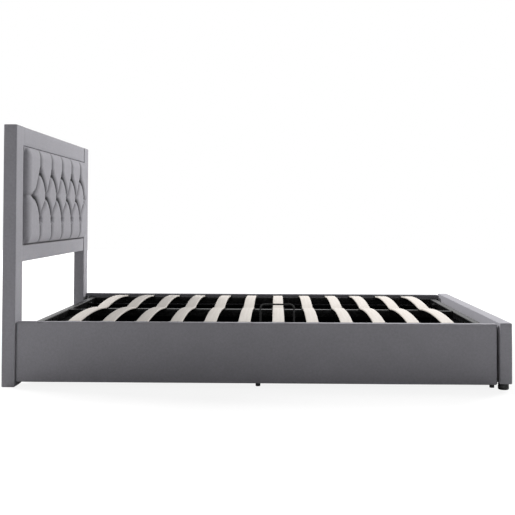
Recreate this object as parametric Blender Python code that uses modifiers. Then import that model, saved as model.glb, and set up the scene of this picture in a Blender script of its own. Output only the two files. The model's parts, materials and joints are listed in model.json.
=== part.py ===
"""Upholstered lift-up storage bed: headboard, box, slat frame on a side hinge, and two gas struts.

Frame: metres, +Z up, origin on the floor under the middle of the bed. The headboard is at -X, the
foot at +X, the opening side at -Y and the hinged side at +Y.
"""
import math

import bmesh
import bpy
from mathutils import Matrix, Vector

# Overall size.
LENGTH = 2.065
WIDTH = 1.450
HEIGHT = 1.071
GAP = 0.0003
SEAM = 0.0010

# Headboard.
HEADBOARD_T = 0.055
POST_W = 0.105
TOP_RAIL_Z = 0.991
PANEL_Z = 0.574
LOW_RAIL_Z = 0.504
RAIL_RECESS = 0.0025
BACK_BOARD_T = 0.012
PANEL_PROUD = 0.026
PANEL_EDGE_GAP = 0.003
CLOTH_EDGE = 0.005

# Box round the storage space.
RAIL_INSET = 0.010
RAIL_T = 0.033
RAIL_Z = (0.020, 0.266)
FOOTBOARD_T = 0.051
FOOTBOARD_Z = (0.025, 0.271)
HEAD_END_T = 0.018
HEAD_END_Y = 0.615
HEAD_END_TOP = 0.205
FOOT_R = 0.022
FOOT_INSET = 0.0033
FOOT_Y = 0.690
GLIDE_R = 0.0095
GLIDE_Y = 0.650

# Storage floor.
BEARER_W = 0.030
BEARER_Z = (0.0203, 0.0420)
MID_BEARER_X = 0.0085
FLOOR_T = 0.006
FLOOR_SPLIT = 0.0025

# Steel corner brackets.
BRACKET_T = 0.0025
BRACKET_LEG = 0.056
BRACKET_Z = (0.070, 0.250)

# Lift frame of square tube.
TUBE = 0.030
TUBE_WALL = 0.0015
TUBE_CORNER = 0.003
FRAME_X = (-0.9455, 0.9555)
FRAME_Y = (-0.672, 0.662)
FRAME_TOP = 0.246
CENTRE_Y = (FRAME_Y[0] + FRAME_Y[1]) / 2

# Bowed slats in two columns.
SLAT_ROWS = 12
SLAT_PITCH = 0.1415
SLAT_FIRST_X = -0.757
FOOT_GROUP_START = 9
FOOT_GROUP_SHIFT = -0.0075
SLAT_W = 0.050
SLAT_T = 0.008
SLAT_BOW = 0.015
SLAT_STEPS = 10
SLAT_EDGE = 0.005
SEAT_T = 0.0035
CHEEK_T = 0.004
CHEEK_H = 0.006

# Mattress stop, a bent rod.
STOP_ROD_R = 0.0035
STOP_SPAN = 0.138
STOP_X = 0.087
STOP_Y = -0.661
STOP_TOP = 0.339
STOP_BEND_R = 0.018

# Side hinge and gas struts. Both strut pivots are ARM from the hinge axis, so the strut turns
# half as far as the lift frame.
HINGE_Y = 0.668
HINGE_Z = FRAME_TOP
HINGE_PIN_R = 0.003
LUG_R = 0.008
LUG_T = 0.004
LUG_SETBACK = 0.001
ARM = 0.225
FRAME_PIVOT_ANGLE = math.radians(4)
BASE_PIVOT_ANGLE = math.radians(52)
PLATE_T = 0.003
STRUT_SETBACK = 0.0125
PIN_R = 0.004
RUNNING = 0.0003
EYE_R = 0.008
EYE_T = 0.010
EYE_OVERLAP = 0.0025
PIN_HEAD_R = 0.0065
PIN_HEAD_T = 0.003
STANDOFF_R = 0.006
TUBE_R = 0.009
BORE_R = 0.0046
ROD_R = 0.004
NECK_R = 0.0045
BODY_START = 0.0105
BORE_START = 0.014
ROD_START = 0.017
MOUTH_BACK = 0.022

HEAD_X = -LENGTH / 2
FOOT_X = LENGTH / 2
HEADBOARD_FACE = HEAD_X + HEADBOARD_T
FOOTBOARD_FACE = FOOT_X - FOOTBOARD_T
RAIL_OUT = WIDTH / 2 - RAIL_INSET
RAIL_IN = RAIL_OUT - RAIL_T
SEAT_TOP = FRAME_TOP + GAP + SEAT_T
SIDES = (("near", -1), ("far", 1))


def clear_scene():
    """Empty the file of objects and of what they leave behind."""
    for obj in list(bpy.data.objects):
        bpy.data.objects.remove(obj, do_unlink=True)
    for group in list(bpy.data.collections):
        bpy.data.collections.remove(group)


def new_collection(name):
    group = bpy.data.collections.new(name)
    bpy.context.scene.collection.children.link(group)
    return group


def finish(name, colour, roughness, metallic=0.0):
    """One Principled material."""
    mat = bpy.data.materials.new(name)
    mat.use_nodes = True
    shader = mat.node_tree.nodes["Principled BSDF"]
    shader.inputs["Base Color"].default_value = (*colour, 1.0)
    shader.inputs["Roughness"].default_value = roughness
    shader.inputs["Metallic"].default_value = metallic
    return mat


def dress(obj, mat):
    obj.data.materials.clear()
    obj.data.materials.append(mat)
    return obj


def mesh_object(name, bm, group, mat):
    """Close a bmesh into a named object of the group."""
    bmesh.ops.recalc_face_normals(bm, faces=bm.faces)
    mesh = bpy.data.meshes.new(name)
    bm.to_mesh(mesh)
    bm.free()
    obj = bpy.data.objects.new(name, mesh)
    group.objects.link(obj)
    return dress(obj, mat)


def box(name, low, high, mat, edge=0.0, group=None):
    """A block between two corners, with rounded edges if edge is given."""
    low, high = Vector(low), Vector(high)
    bm = bmesh.new()
    bmesh.ops.create_cube(bm, size=1.0)
    bmesh.ops.scale(bm, vec=high - low, verts=bm.verts)
    obj = mesh_object(name, bm, group or parts, mat)
    obj.location = (low + high) / 2
    if edge:
        bevel = obj.modifiers.new("rounded_edges", "BEVEL")
        bevel.width = edge
        bevel.segments = 2
        bevel.limit_method = "NONE"
        obj.data.shade_smooth()
        obj.data.set_sharp_from_angle(angle=math.radians(40))
    return obj


def rod_along(name, start, end, radius, mat, sides=20, group=None):
    """A round bar between two points, with its origin at the start."""
    start, end = Vector(start), Vector(end)
    run = end - start
    bm = bmesh.new()
    bmesh.ops.create_cone(
        bm, cap_ends=True, segments=sides, radius1=radius, radius2=radius, depth=run.length
    )
    bmesh.ops.translate(bm, vec=(0, 0, run.length / 2), verts=bm.verts)
    obj = mesh_object(name, bm, group or parts, mat)
    obj.rotation_mode = "QUATERNION"
    obj.rotation_quaternion = Vector((0, 0, 1)).rotation_difference(run)
    obj.location = start
    obj.data.shade_smooth()
    obj.data.set_sharp_from_angle(angle=math.radians(40))
    return obj


def helper(obj):
    """Mark an object as a cutter or a joined shape, which the assembly leaves out."""
    obj.hide_render = True
    obj.display_type = "WIRE"
    return obj


def combine(target, operation, tool):
    """Cut the tool from the target, or join it on."""
    helper(tool)
    step = target.modifiers.new(f"{operation.lower()}_{tool.name}"[:60], "BOOLEAN")
    step.operation = operation
    step.solver = "EXACT"
    step.object = tool
    return target


def weld_on(target, *tools):
    for tool in tools:
        combine(target, "UNION", tool)
    return target


def outline(name, loops, thickness, mat, group=None):
    """A flat shape of closed loops in its own XY plane, thickened both ways along Z."""
    curve = bpy.data.curves.new(name, "CURVE")
    curve.dimensions = "2D"
    curve.fill_mode = "BOTH"
    curve.extrude = thickness / 2
    for points in loops:
        spline = curve.splines.new("POLY")
        spline.points.add(len(points) - 1)
        for point, (x, y) in zip(spline.points, points):
            point.co = (x, y, 0, 1)
        spline.use_cyclic_u = True
    obj = bpy.data.objects.new(name, curve)
    (group or parts).objects.link(obj)
    return dress(obj, mat)


def as_mesh(obj):
    """Turn a curve object into a welded mesh object of the same name and place."""
    bpy.context.view_layer.update()
    graph = bpy.context.evaluated_depsgraph_get()
    mesh = bpy.data.meshes.new_from_object(obj.evaluated_get(graph))
    bm = bmesh.new()
    bm.from_mesh(mesh)
    bmesh.ops.remove_doubles(bm, verts=bm.verts, dist=1e-5)
    bmesh.ops.recalc_face_normals(bm, faces=bm.faces)
    bm.to_mesh(mesh)
    bm.free()
    name, matrix, group = obj.name, obj.matrix_world.copy(), obj.users_collection[0]
    curve, mat = obj.data, obj.data.materials[0]
    bpy.data.objects.remove(obj, do_unlink=True)
    bpy.data.curves.remove(curve)
    made = bpy.data.objects.new(name, mesh)
    made.matrix_world = matrix
    group.objects.link(made)
    return dress(made, mat)


def pivot(name, place):
    """An empty on a joint's axis."""
    empty = bpy.data.objects.new(name, None)
    empty.empty_display_size = 0.05
    empty.location = place
    parts.objects.link(empty)
    return empty


def hang(empty, *objs):
    """Parent objects to an empty, leaving them where they are."""
    for obj in objs:
        obj.parent = empty
        obj.matrix_parent_inverse = Matrix.Translation(-Vector(empty.location))


def rounded_square(half_w, half_h, radius, steps=2):
    """The points of a rectangle with round corners, anticlockwise."""
    points = []
    for quarter, (sx, sy) in enumerate(((1, 1), (-1, 1), (-1, -1), (1, -1))):
        for step in range(steps + 1):
            angle = math.pi / 2 * (quarter + step / steps)
            x = sx * (half_w - radius) + radius * math.cos(angle)
            y = sy * (half_h - radius) + radius * math.sin(angle)
            points.append((x, y))
    return points


# --- headboard -------------------------------------------------------------------------------


def make_headboard():
    """Two posts, two cross rails, a back board and the buttoned pad between them."""
    post_in = WIDTH / 2 - POST_W
    for side, sign in SIDES:
        ys = sorted((sign * WIDTH / 2, sign * post_in))
        low = (HEAD_X, ys[0], 0.0)
        high = (HEADBOARD_FACE, ys[1], HEIGHT)
        box(f"headboard_post_{side}", low, high, velvet, CLOTH_EDGE)
    bar_y = post_in - GAP
    bar_x = (HEAD_X + RAIL_RECESS, HEADBOARD_FACE - RAIL_RECESS)
    spans = (("top", TOP_RAIL_Z, HEIGHT), ("bottom", LOW_RAIL_Z, PANEL_Z))
    for level, low_z, high_z in spans:
        name = f"headboard_{level}_rail"
        box(name, (bar_x[0], -bar_y, low_z), (bar_x[1], bar_y, high_z), velvet, CLOTH_EDGE)
    board_x = bar_x[0] + BACK_BOARD_T
    low = (bar_x[0], -bar_y, PANEL_Z + GAP)
    box("headboard_back_board", low, (board_x, bar_y, TOP_RAIL_Z - GAP), velvet)
    pad_y = bar_y - PANEL_EDGE_GAP
    low = (board_x + GAP, -pad_y, PANEL_Z + PANEL_EDGE_GAP)
    high = (HEADBOARD_FACE + PANEL_PROUD, pad_y, TOP_RAIL_Z - PANEL_EDGE_GAP)
    pad = box("headboard_tufted_pad", low, high, velvet, 0.024)
    pad.modifiers["rounded_edges"].segments = 3


# --- box -------------------------------------------------------------------------------------


def make_box():
    """The side rails, footboard, head end board and feet."""
    for side, sign in SIDES:
        ys = sorted((sign * RAIL_OUT, sign * RAIL_IN))
        low = (HEADBOARD_FACE + SEAM, ys[0], RAIL_Z[0])
        high = (FOOTBOARD_FACE - SEAM, ys[1], RAIL_Z[1])
        box(f"side_rail_{side}", low, high, velvet, 0.006)
        make_foot(f"footboard_foot_{side}", sign * FOOT_Y)
    low = (FOOTBOARD_FACE, -WIDTH / 2, FOOTBOARD_Z[0])
    box("footboard", low, (FOOT_X, WIDTH / 2, FOOTBOARD_Z[1]), velvet, 0.008)
    low = (HEADBOARD_FACE + GAP, -HEAD_END_Y, BEARER_Z[0])
    high = (HEADBOARD_FACE + HEAD_END_T, HEAD_END_Y, HEAD_END_TOP)
    board = box("head_end_board", low, high, black_board)
    board_x = HEADBOARD_FACE + HEAD_END_T / 2
    weld_on(board, *glides("head_end", board_x, (-0.55, 0.55), glide_radius=0.0075))


def make_foot(name, y):
    """A turned black foot with a rounded lower edge."""
    top = FOOTBOARD_Z[0] - GAP
    edge = 0.004
    curve = [(0.0, top), (FOOT_R, top)]
    for step in range(4):
        angle = math.pi / 2 * step / 3
        curve.append((FOOT_R - edge + edge * math.cos(angle), edge - edge * math.sin(angle)))
    curve.append((0.0, 0.0))
    foot = turned(name, curve, black_plastic)
    foot.location = ((FOOTBOARD_FACE + FOOT_X) / 2 - FOOT_INSET, y, 0.0)


def turned(name, profile, mat, steps=24, group=None):
    """A profile of (radius, height) points turned round local Z."""
    bm = bmesh.new()
    verts = [bm.verts.new((radius, 0, height)) for radius, height in profile]
    for first, second in zip(verts, verts[1:]):
        bm.edges.new((first, second))
    mesh = bpy.data.meshes.new(name)
    bm.to_mesh(mesh)
    bm.free()
    obj = bpy.data.objects.new(name, mesh)
    (group or parts).objects.link(obj)
    screw = obj.modifiers.new("turn", "SCREW")
    screw.steps = steps
    screw.render_steps = steps
    screw.use_merge_vertices = True
    screw.merge_threshold = 0.0001
    screw.use_smooth_shade = True
    return dress(obj, mat)


def glides(name, x, places, glide_radius=GLIDE_R):
    """Round glides from the floor up into a bearer."""
    top = BEARER_Z[0] + 0.002
    made = []
    for count, y in enumerate(places):
        tool = f"{name}_glide_{count}"
        made.append(rod_along(tool, (x, y, 0), (x, y, top), glide_radius, glide_grey, group=tools))
    return made


def make_storage_floor():
    """Cross bearers with glides, and two boards on them."""
    head_x = HEADBOARD_FACE + HEAD_END_T + GAP + BEARER_W / 2
    foot_x = FOOTBOARD_FACE - GAP - BEARER_W / 2
    for place, x in (("head", head_x), ("middle", MID_BEARER_X), ("foot", foot_x)):
        low = (x - BEARER_W / 2, GAP - RAIL_IN, BEARER_Z[0])
        high = (x + BEARER_W / 2, RAIL_IN - GAP, BEARER_Z[1])
        bearer = box(f"floor_bearer_{place}", low, high, black_board)
        if place != "head":
            weld_on(bearer, *glides(place, x, (-GLIDE_Y, 0.0, GLIDE_Y)))
    low_z = BEARER_Z[1] + GAP
    edge_y = RAIL_IN - SEAM
    head_edge = HEADBOARD_FACE + HEAD_END_T + SEAM
    low = (head_edge, -edge_y, low_z)
    high = (MID_BEARER_X - FLOOR_SPLIT, edge_y, low_z + FLOOR_T)
    box("floor_board_head", low, high, black_board)
    low = (MID_BEARER_X + FLOOR_SPLIT, -edge_y, low_z)
    box("floor_board_foot", low, (FOOTBOARD_FACE - SEAM, edge_y, low_z + FLOOR_T), black_board)


def make_corner_brackets():
    """Four steel angles that bolt the side rails to the headboard and the footboard."""
    ends = (("head", HEADBOARD_FACE + GAP, 1), ("foot", FOOTBOARD_FACE - GAP, -1))
    for end, x, inward in ends:
        for side, sign in SIDES:
            leg, wall = BRACKET_LEG, BRACKET_T
            angle = ((0, 0), (leg, 0), (leg, wall), (wall, wall), (wall, leg), (0, leg))
            y = sign * (RAIL_IN - GAP)
            points = [(x + inward * along, y - sign * across) for along, across in angle]
            name = f"corner_bracket_{end}_{side}"
            bracket = outline(name, [points], BRACKET_Z[1] - BRACKET_Z[0], zinc)
            bracket.location.z = sum(BRACKET_Z) / 2


# --- lift frame ------------------------------------------------------------------------------


def square_tube(name, start, end, mat):
    """A hollow square tube, open at both ends, between two points of its axis."""
    start, end = Vector(start), Vector(end)
    run = end - start
    outer = rounded_square(TUBE / 2, TUBE / 2, TUBE_CORNER)
    inner_half = TUBE / 2 - TUBE_WALL
    inner = rounded_square(inner_half, inner_half, TUBE_CORNER - TUBE_WALL)
    tube = outline(name, [outer, inner], run.length, mat)
    tube.rotation_mode = "QUATERNION"
    tube.rotation_quaternion = Vector((0, 0, 1)).rotation_difference(run)
    tube.location = (start + end) / 2
    return as_mesh(tube)


def make_lift_frame():
    """Two side tubes, two cross tubes and a centre tube, with the hinge lugs and strut pins."""
    mid_z = FRAME_TOP - TUBE / 2
    half = TUBE / 2
    made = []
    for side, y in (("near", FRAME_Y[0] + half), ("far", FRAME_Y[1] - half)):
        name = f"lift_frame_side_tube_{side}"
        tube = square_tube(name, (FRAME_X[0], y, mid_z), (FRAME_X[1], y, mid_z), frame_steel)
        made.append(tube)
    add_hinge_lugs(made[1])
    ends = (("head", FRAME_X[0] + half, 1), ("foot", FRAME_X[1] - half, -1))
    span = (FRAME_Y[0] + TUBE + GAP, FRAME_Y[1] - TUBE - GAP)
    for end, x, inward in ends:
        name = f"lift_frame_cross_tube_{end}"
        tube = square_tube(name, (x, span[0], mid_z), (x, span[1], mid_z), frame_steel)
        add_strut_pin(tube, end, x + inward * half, inward)
        made.append(tube)
    start = (FRAME_X[0] + TUBE + GAP, CENTRE_Y, mid_z)
    end = (FRAME_X[1] - TUBE - GAP, CENTRE_Y, mid_z)
    made.append(square_tube("lift_frame_centre_tube", start, end, frame_steel))
    return made


def add_hinge_lugs(tube):
    """A drilled round lug at each end of the hinged side tube."""
    for end, x, inward in (("head", FRAME_X[0], 1), ("foot", FRAME_X[1], -1)):
        first = x + inward * LUG_SETBACK
        last = first + inward * LUG_T
        start, stop = (first, HINGE_Y, HINGE_Z), (last, HINGE_Y, HINGE_Z)
        lug = rod_along(f"{end}_lug", start, stop, LUG_R, frame_steel, group=tools)
        weld_on(tube, lug)
    for end, x in (("head", FRAME_X[0]), ("foot", FRAME_X[1])):
        start, stop = (x - 0.02, HINGE_Y, HINGE_Z), (x + 0.02, HINGE_Y, HINGE_Z)
        drill_r = HINGE_PIN_R + RUNNING
        drill = rod_along(f"{end}_lug_drill", start, stop, drill_r, frame_steel, group=tools)
        combine(tube, "DIFFERENCE", drill)


def arm_point(angle):
    """The (y, z) of a pivot ARM from the hinge axis, angle below the level."""
    return HINGE_Y - ARM * math.cos(angle), HINGE_Z - ARM * math.sin(angle)


def headed_pin(name, x, eye_x, inward, place, standoff_r):
    """The joined shapes of a pin that stands along X: its shank, its head, and any standoff."""
    y, z = place
    shank_end = eye_x + inward * (EYE_T / 2 + RUNNING + PIN_HEAD_T)
    head_start = shank_end - inward * PIN_HEAD_T
    sunk = x - inward * 0.001
    shapes = [
        rod_along(f"{name}_shank", (sunk, y, z), (shank_end, y, z), PIN_R, zinc, group=tools),
        rod_along(
            f"{name}_head",
            (head_start, y, z),
            (shank_end + inward * 0.0005, y, z),
            PIN_HEAD_R,
            zinc,
            group=tools,
        ),
    ]
    if standoff_r:
        stop = eye_x - inward * (EYE_T / 2 + RUNNING)
        start, end = (sunk, y, z), (stop, y, z)
        shapes.append(rod_along(f"{name}_standoff", start, end, standoff_r, zinc, group=tools))
    return shapes


def add_strut_pin(tube, end, face_x, inward):
    """The pin on a cross tube's inner face that carries the upper strut eye."""
    place = arm_point(FRAME_PIVOT_ANGLE)
    eye_x = face_x + inward * STRUT_SETBACK
    weld_on(tube, *headed_pin(f"upper_{end}", face_x, eye_x, inward, place, STANDOFF_R))


def slat_x(row):
    """The middle of a slat row; the rows nearest the foot stand a little closer to the rest."""
    shift = FOOT_GROUP_SHIFT if row >= FOOT_GROUP_START else 0.0
    return SLAT_FIRST_X + SLAT_PITCH * row + shift


def make_seat_strips():
    """Three moulded strips along the tubes, with cheeks that hold each slat end in line."""
    rows = (("near", FRAME_Y[0] + TUBE / 2), ("centre", CENTRE_Y), ("far", FRAME_Y[1] - TUBE / 2))
    low_z = FRAME_TOP + GAP
    made = []
    for place, y in rows:
        half = TUBE / 2 - TUBE_CORNER
        low = (slat_x(0) - SLAT_W, y - half, low_z)
        high = (slat_x(SLAT_ROWS - 1) + SLAT_W, y + half, low_z + SEAT_T)
        strip = box(f"slat_seat_strip_{place}", low, high, rubber)
        groups = ((0, FOOT_GROUP_START), (FOOT_GROUP_START, SLAT_ROWS - FOOT_GROUP_START))
        for first, count in groups:
            for sign in (-1, 1):
                inner = slat_x(first) + sign * (SLAT_W / 2 + GAP)
                xs = sorted((inner, inner + sign * CHEEK_T))
                name = f"{place}_cheek_{first}_{sign}"
                low = (xs[0], y - half + 0.001, low_z + SEAT_T / 2)
                high = (xs[1], y + half - 0.001, low_z + SEAT_T + CHEEK_H)
                cheek = box(name, low, high, rubber, group=tools)
                row = cheek.modifiers.new("row", "ARRAY")
                row.count = count
                row.use_relative_offset = False
                row.use_constant_offset = True
                row.constant_offset_displace = (SLAT_PITCH, 0, 0)
                weld_on(strip, cheek)
        made.append(strip)
    return made


def make_slats():
    """Twelve rows of two bowed slats, each from a side tube to the centre tube."""
    low_z = SEAT_TOP + GAP
    length = (FRAME_Y[1] - FRAME_Y[0]) / 2 - SLAT_EDGE - 0.002
    half = length / 2
    lower, upper = [], []
    for step in range(SLAT_STEPS + 1):
        along = 2 * step / SLAT_STEPS - 1
        rise = SLAT_BOW * (1 - along * along)
        lower.append((half * along, rise))
        upper.append((half * along, rise + SLAT_T))
    profile = lower + upper[::-1]
    columns = (
        ("near", FRAME_Y[0] + SLAT_EDGE + half),
        ("far", FRAME_Y[1] - SLAT_EDGE - half),
    )
    made = []
    for row in range(SLAT_ROWS):
        x = slat_x(row)
        for column, y in columns:
            slat = outline(f"slat_{row + 1:02d}_{column}", [profile], SLAT_W, birch)
            slat.rotation_euler = (math.pi / 2, 0, math.pi / 2)
            slat.location = (x, y, low_z)
            made.append(slat)
    return made


def make_mattress_stop():
    """A bent steel rod standing on the opening side's tube, which keeps the mattress on."""
    path = []
    half = STOP_SPAN / 2
    base = SEAT_TOP + GAP
    top = STOP_TOP - STOP_ROD_R
    path.append((-half, base))
    for step in range(6):
        angle = math.pi - math.pi / 2 * step / 5
        x = -half + STOP_BEND_R + STOP_BEND_R * math.cos(angle)
        path.append((x, top - STOP_BEND_R + STOP_BEND_R * math.sin(angle)))
    path += [(-x, z) for x, z in reversed(path)]
    curve = bpy.data.curves.new("mattress_stop", "CURVE")
    curve.dimensions = "3D"
    curve.bevel_depth = STOP_ROD_R
    curve.bevel_resolution = 2
    curve.use_fill_caps = True
    spline = curve.splines.new("POLY")
    spline.points.add(len(path) - 1)
    for point, (x, z) in zip(spline.points, path):
        point.co = (x, 0, z, 1)
    stop = bpy.data.objects.new("mattress_stop", curve)
    stop.location = (STOP_X, STOP_Y, 0)
    parts.objects.link(stop)
    return dress(stop, frame_steel)


# --- hinge and struts ------------------------------------------------------------------------


def make_hinge_bracket(end, back_x, frame_x, inward):
    """A plate on the end board with the lift frame's hinge pin and the lower strut pin."""
    low_y, low_z = arm_point(BASE_PIVOT_ANGLE)
    bm = bmesh.new()
    for y, z, radius in ((HINGE_Y, HINGE_Z, 0.009), (low_y, low_z, 0.014), (low_y, 0.19, 0.014)):
        turn = Matrix.Rotation(math.pi / 2, 4, "Y")
        place = Matrix.Translation((back_x + inward * PLATE_T / 2, y, z)) @ turn
        bmesh.ops.create_cone(
            bm,
            cap_ends=True,
            segments=20,
            radius1=radius,
            radius2=radius,
            depth=PLATE_T,
            matrix=place,
        )
    hull = bmesh.ops.convex_hull(bm, input=bm.verts)
    inside = [item for item in hull["geom_interior"] if isinstance(item, bmesh.types.BMVert)]
    bmesh.ops.delete(bm, geom=inside, context="VERTS")
    outer_faces = set(hull["geom"])
    spare = [face for face in bm.faces if face not in outer_faces]
    bmesh.ops.delete(bm, geom=spare, context="FACES_ONLY")
    bmesh.ops.dissolve_limit(bm, angle_limit=0.001, verts=bm.verts, edges=bm.edges)
    plate = mesh_object(f"hinge_bracket_{end}", bm, parts, zinc)
    sunk = back_x + inward * PLATE_T / 2
    stop = frame_x + inward * (LUG_SETBACK + LUG_T + 0.003)
    start, last = (sunk, HINGE_Y, HINGE_Z), (stop, HINGE_Y, HINGE_Z)
    pin = rod_along(f"{end}_hinge_pin", start, last, HINGE_PIN_R, zinc, group=tools)
    eye_x = frame_x + inward * (TUBE + STRUT_SETBACK)
    front = back_x + inward * PLATE_T
    place = (low_y, low_z)
    lower = headed_pin(f"lower_{end}", front, eye_x, inward, place, STANDOFF_R)
    return weld_on(plate, pin, *lower)


def drilled_eye(target, name, centre, mat):
    """Join an eye onto a strut piece and drill it along X."""
    x, y, z = centre
    start, stop = (x - EYE_T / 2, y, z), (x + EYE_T / 2, y, z)
    weld_on(target, rod_along(f"{name}_eye", start, stop, EYE_R, mat, sides=24, group=tools))
    start, stop = (x - EYE_T, y, z), (x + EYE_T, y, z)
    drill = rod_along(f"{name}_drill", start, stop, PIN_R + RUNNING, mat, sides=20, group=tools)
    combine(target, "DIFFERENCE", drill)


def make_strut(end, x):
    """A gas strut: a blind cylinder on the lower pin and a rod on the upper pin."""
    low_y, low_z = arm_point(BASE_PIVOT_ANGLE)
    high_y, high_z = arm_point(FRAME_PIVOT_ANGLE)
    low, high = Vector((x, low_y, low_z)), Vector((x, high_y, high_z))
    run = high - low
    mouth = run.length - MOUTH_BACK
    neck = EYE_R - EYE_OVERLAP
    profile = [(0, BORE_START), (BORE_R, BORE_START), (BORE_R, mouth), (TUBE_R, mouth)]
    profile += [(TUBE_R, BODY_START), (NECK_R, BODY_START), (NECK_R, neck), (0, neck)]
    cylinder = turned(f"strut_cylinder_{end}", profile, strut_black, steps=20)
    cylinder.rotation_mode = "QUATERNION"
    cylinder.rotation_quaternion = Vector((0, 0, 1)).rotation_difference(run)
    cylinder.location = low
    drilled_eye(cylinder, f"{end}_lower", low, strut_black)
    way = run.normalized()
    start, stop = low + way * ROD_START, high - way * (EYE_R - EYE_OVERLAP)
    rod = rod_along(f"strut_rod_{end}", start, stop, ROD_R, chrome, sides=16)
    drilled_eye(rod, f"{end}_upper", high, chrome)
    return cylinder, rod, low, high


def make_hinge_and_struts(axis):
    """The hinge brackets and gas struts at both ends."""
    head_back = HEADBOARD_FACE + HEAD_END_T + GAP
    foot_back = FOOTBOARD_FACE - GAP - BRACKET_T - GAP
    ends = (("head", head_back, FRAME_X[0], 1), ("foot", foot_back, FRAME_X[1], -1))
    for end, back_x, frame_x, inward in ends:
        make_hinge_bracket(end, back_x, frame_x, inward)
        x = frame_x + inward * (TUBE + STRUT_SETBACK)
        cylinder, rod, low, high = make_strut(end, x)
        hang(pivot(f"{end}_lower_strut_axis", low), cylinder)
        upper = pivot(f"{end}_upper_strut_axis", high)
        hang(upper, rod)
        hang(axis, upper)


clear_scene()
parts = new_collection("lift_up_storage_bed")
tools = new_collection("cutters")
tools.hide_render = True

velvet = finish("grey_velvet", (0.128, 0.126, 0.140), 0.85)
birch = finish("pale_birch", (0.72, 0.66, 0.60), 0.55)
frame_steel = finish("black_frame_steel", (0.030, 0.030, 0.032), 0.42, 0.3)
zinc = finish("zinc_steel", (0.52, 0.53, 0.54), 0.38, 1.0)
black_board = finish("black_board", (0.012, 0.012, 0.013), 0.9)
black_plastic = finish("black_plastic", (0.015, 0.015, 0.016), 0.5)
glide_grey = finish("grey_glide", (0.33, 0.33, 0.34), 0.5)
rubber = finish("seat_rubber", (0.02, 0.02, 0.02), 0.75)
strut_black = finish("strut_black", (0.02, 0.02, 0.022), 0.3, 0.4)
chrome = finish("rod_chrome", (0.7, 0.71, 0.72), 0.12, 1.0)

make_headboard()
make_box()
make_storage_floor()
make_corner_brackets()
hinge_axis = pivot("lift_hinge_axis", (0, HINGE_Y, HINGE_Z))
hang(hinge_axis, *make_lift_frame(), *make_seat_strips(), *make_slats(), make_mattress_stop())
make_hinge_and_struts(hinge_axis)
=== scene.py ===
"""Looks of an upholstered lift-up storage bed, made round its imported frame.

Metres, +Z up. The headboard is at -X, the foot at +X, the opening side at -Y and the hinged side
at +Y. Sizes come from the frame's own nodes; a finish is a small class that builds one material.
"""

import json
import logging
import math
import random
from dataclasses import dataclass
from enum import Enum
from functools import lru_cache

import bpy
import numpy as np
from mathutils import Matrix, Vector, noise


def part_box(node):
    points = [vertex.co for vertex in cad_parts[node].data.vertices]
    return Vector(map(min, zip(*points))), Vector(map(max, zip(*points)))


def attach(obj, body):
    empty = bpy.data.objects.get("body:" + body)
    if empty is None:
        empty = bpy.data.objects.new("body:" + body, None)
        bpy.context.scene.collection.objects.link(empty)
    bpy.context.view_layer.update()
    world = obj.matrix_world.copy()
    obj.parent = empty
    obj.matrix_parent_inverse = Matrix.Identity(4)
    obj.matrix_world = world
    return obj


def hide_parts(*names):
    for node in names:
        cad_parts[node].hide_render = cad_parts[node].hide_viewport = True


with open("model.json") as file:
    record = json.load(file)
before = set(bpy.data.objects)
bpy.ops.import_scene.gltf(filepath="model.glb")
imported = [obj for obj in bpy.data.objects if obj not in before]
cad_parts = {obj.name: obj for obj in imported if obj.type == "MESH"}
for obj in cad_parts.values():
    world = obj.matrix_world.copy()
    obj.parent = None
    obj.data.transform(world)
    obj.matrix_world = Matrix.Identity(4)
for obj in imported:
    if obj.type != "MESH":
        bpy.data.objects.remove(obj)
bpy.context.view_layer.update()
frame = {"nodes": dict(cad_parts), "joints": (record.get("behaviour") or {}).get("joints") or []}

LOG = logging.getLogger("lift_up_bed")
Pair = tuple[float, float]
Point = tuple[float, float, float]
Faces = list[tuple[int, ...]]
Shape = tuple[np.ndarray, Faces]
ORIGIN = (0.0, 0.0, 0.0)
UP = Vector((0.0, 0.0, 1.0))


class Body(Enum):
    """The rigid bodies that pieces ride on."""

    BASE = "bed_base"
    LIFT = "lift_frame"
    CYLINDER_HEAD = "strut_cylinder_head"
    CYLINDER_FOOT = "strut_cylinder_foot"
    ROD_HEAD = "strut_rod_head"
    ROD_FOOT = "strut_rod_foot"


class Slot(Enum):
    """The record's material slots."""

    VELVET = "velvet"
    BIRCH = "slat_birch"
    FRAME_STEEL = "frame_steel"
    ZINC = "zinc_steel"
    BLACK_BOARD = "black_board"
    BLACK_PLASTIC = "black_plastic"
    RUBBER = "seat_rubber"
    STRUT_BLACK = "strut_black"
    CHROME = "rod_chrome"


class Place(Enum):
    """A named place on the bed, with a sign."""

    @property
    def label(self) -> str:
        """The word that node names use."""
        return self.name.lower()


class Side(Place):
    """A long side of the bed, with its sign along Y."""

    NEAR = -1
    FAR = 1


class End(Place):
    """An end of the bed, with the sign along X that points inwards from it."""

    HEAD = 1
    FOOT = -1


# --- shader helpers --------------------------------------------------------------------------


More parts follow.
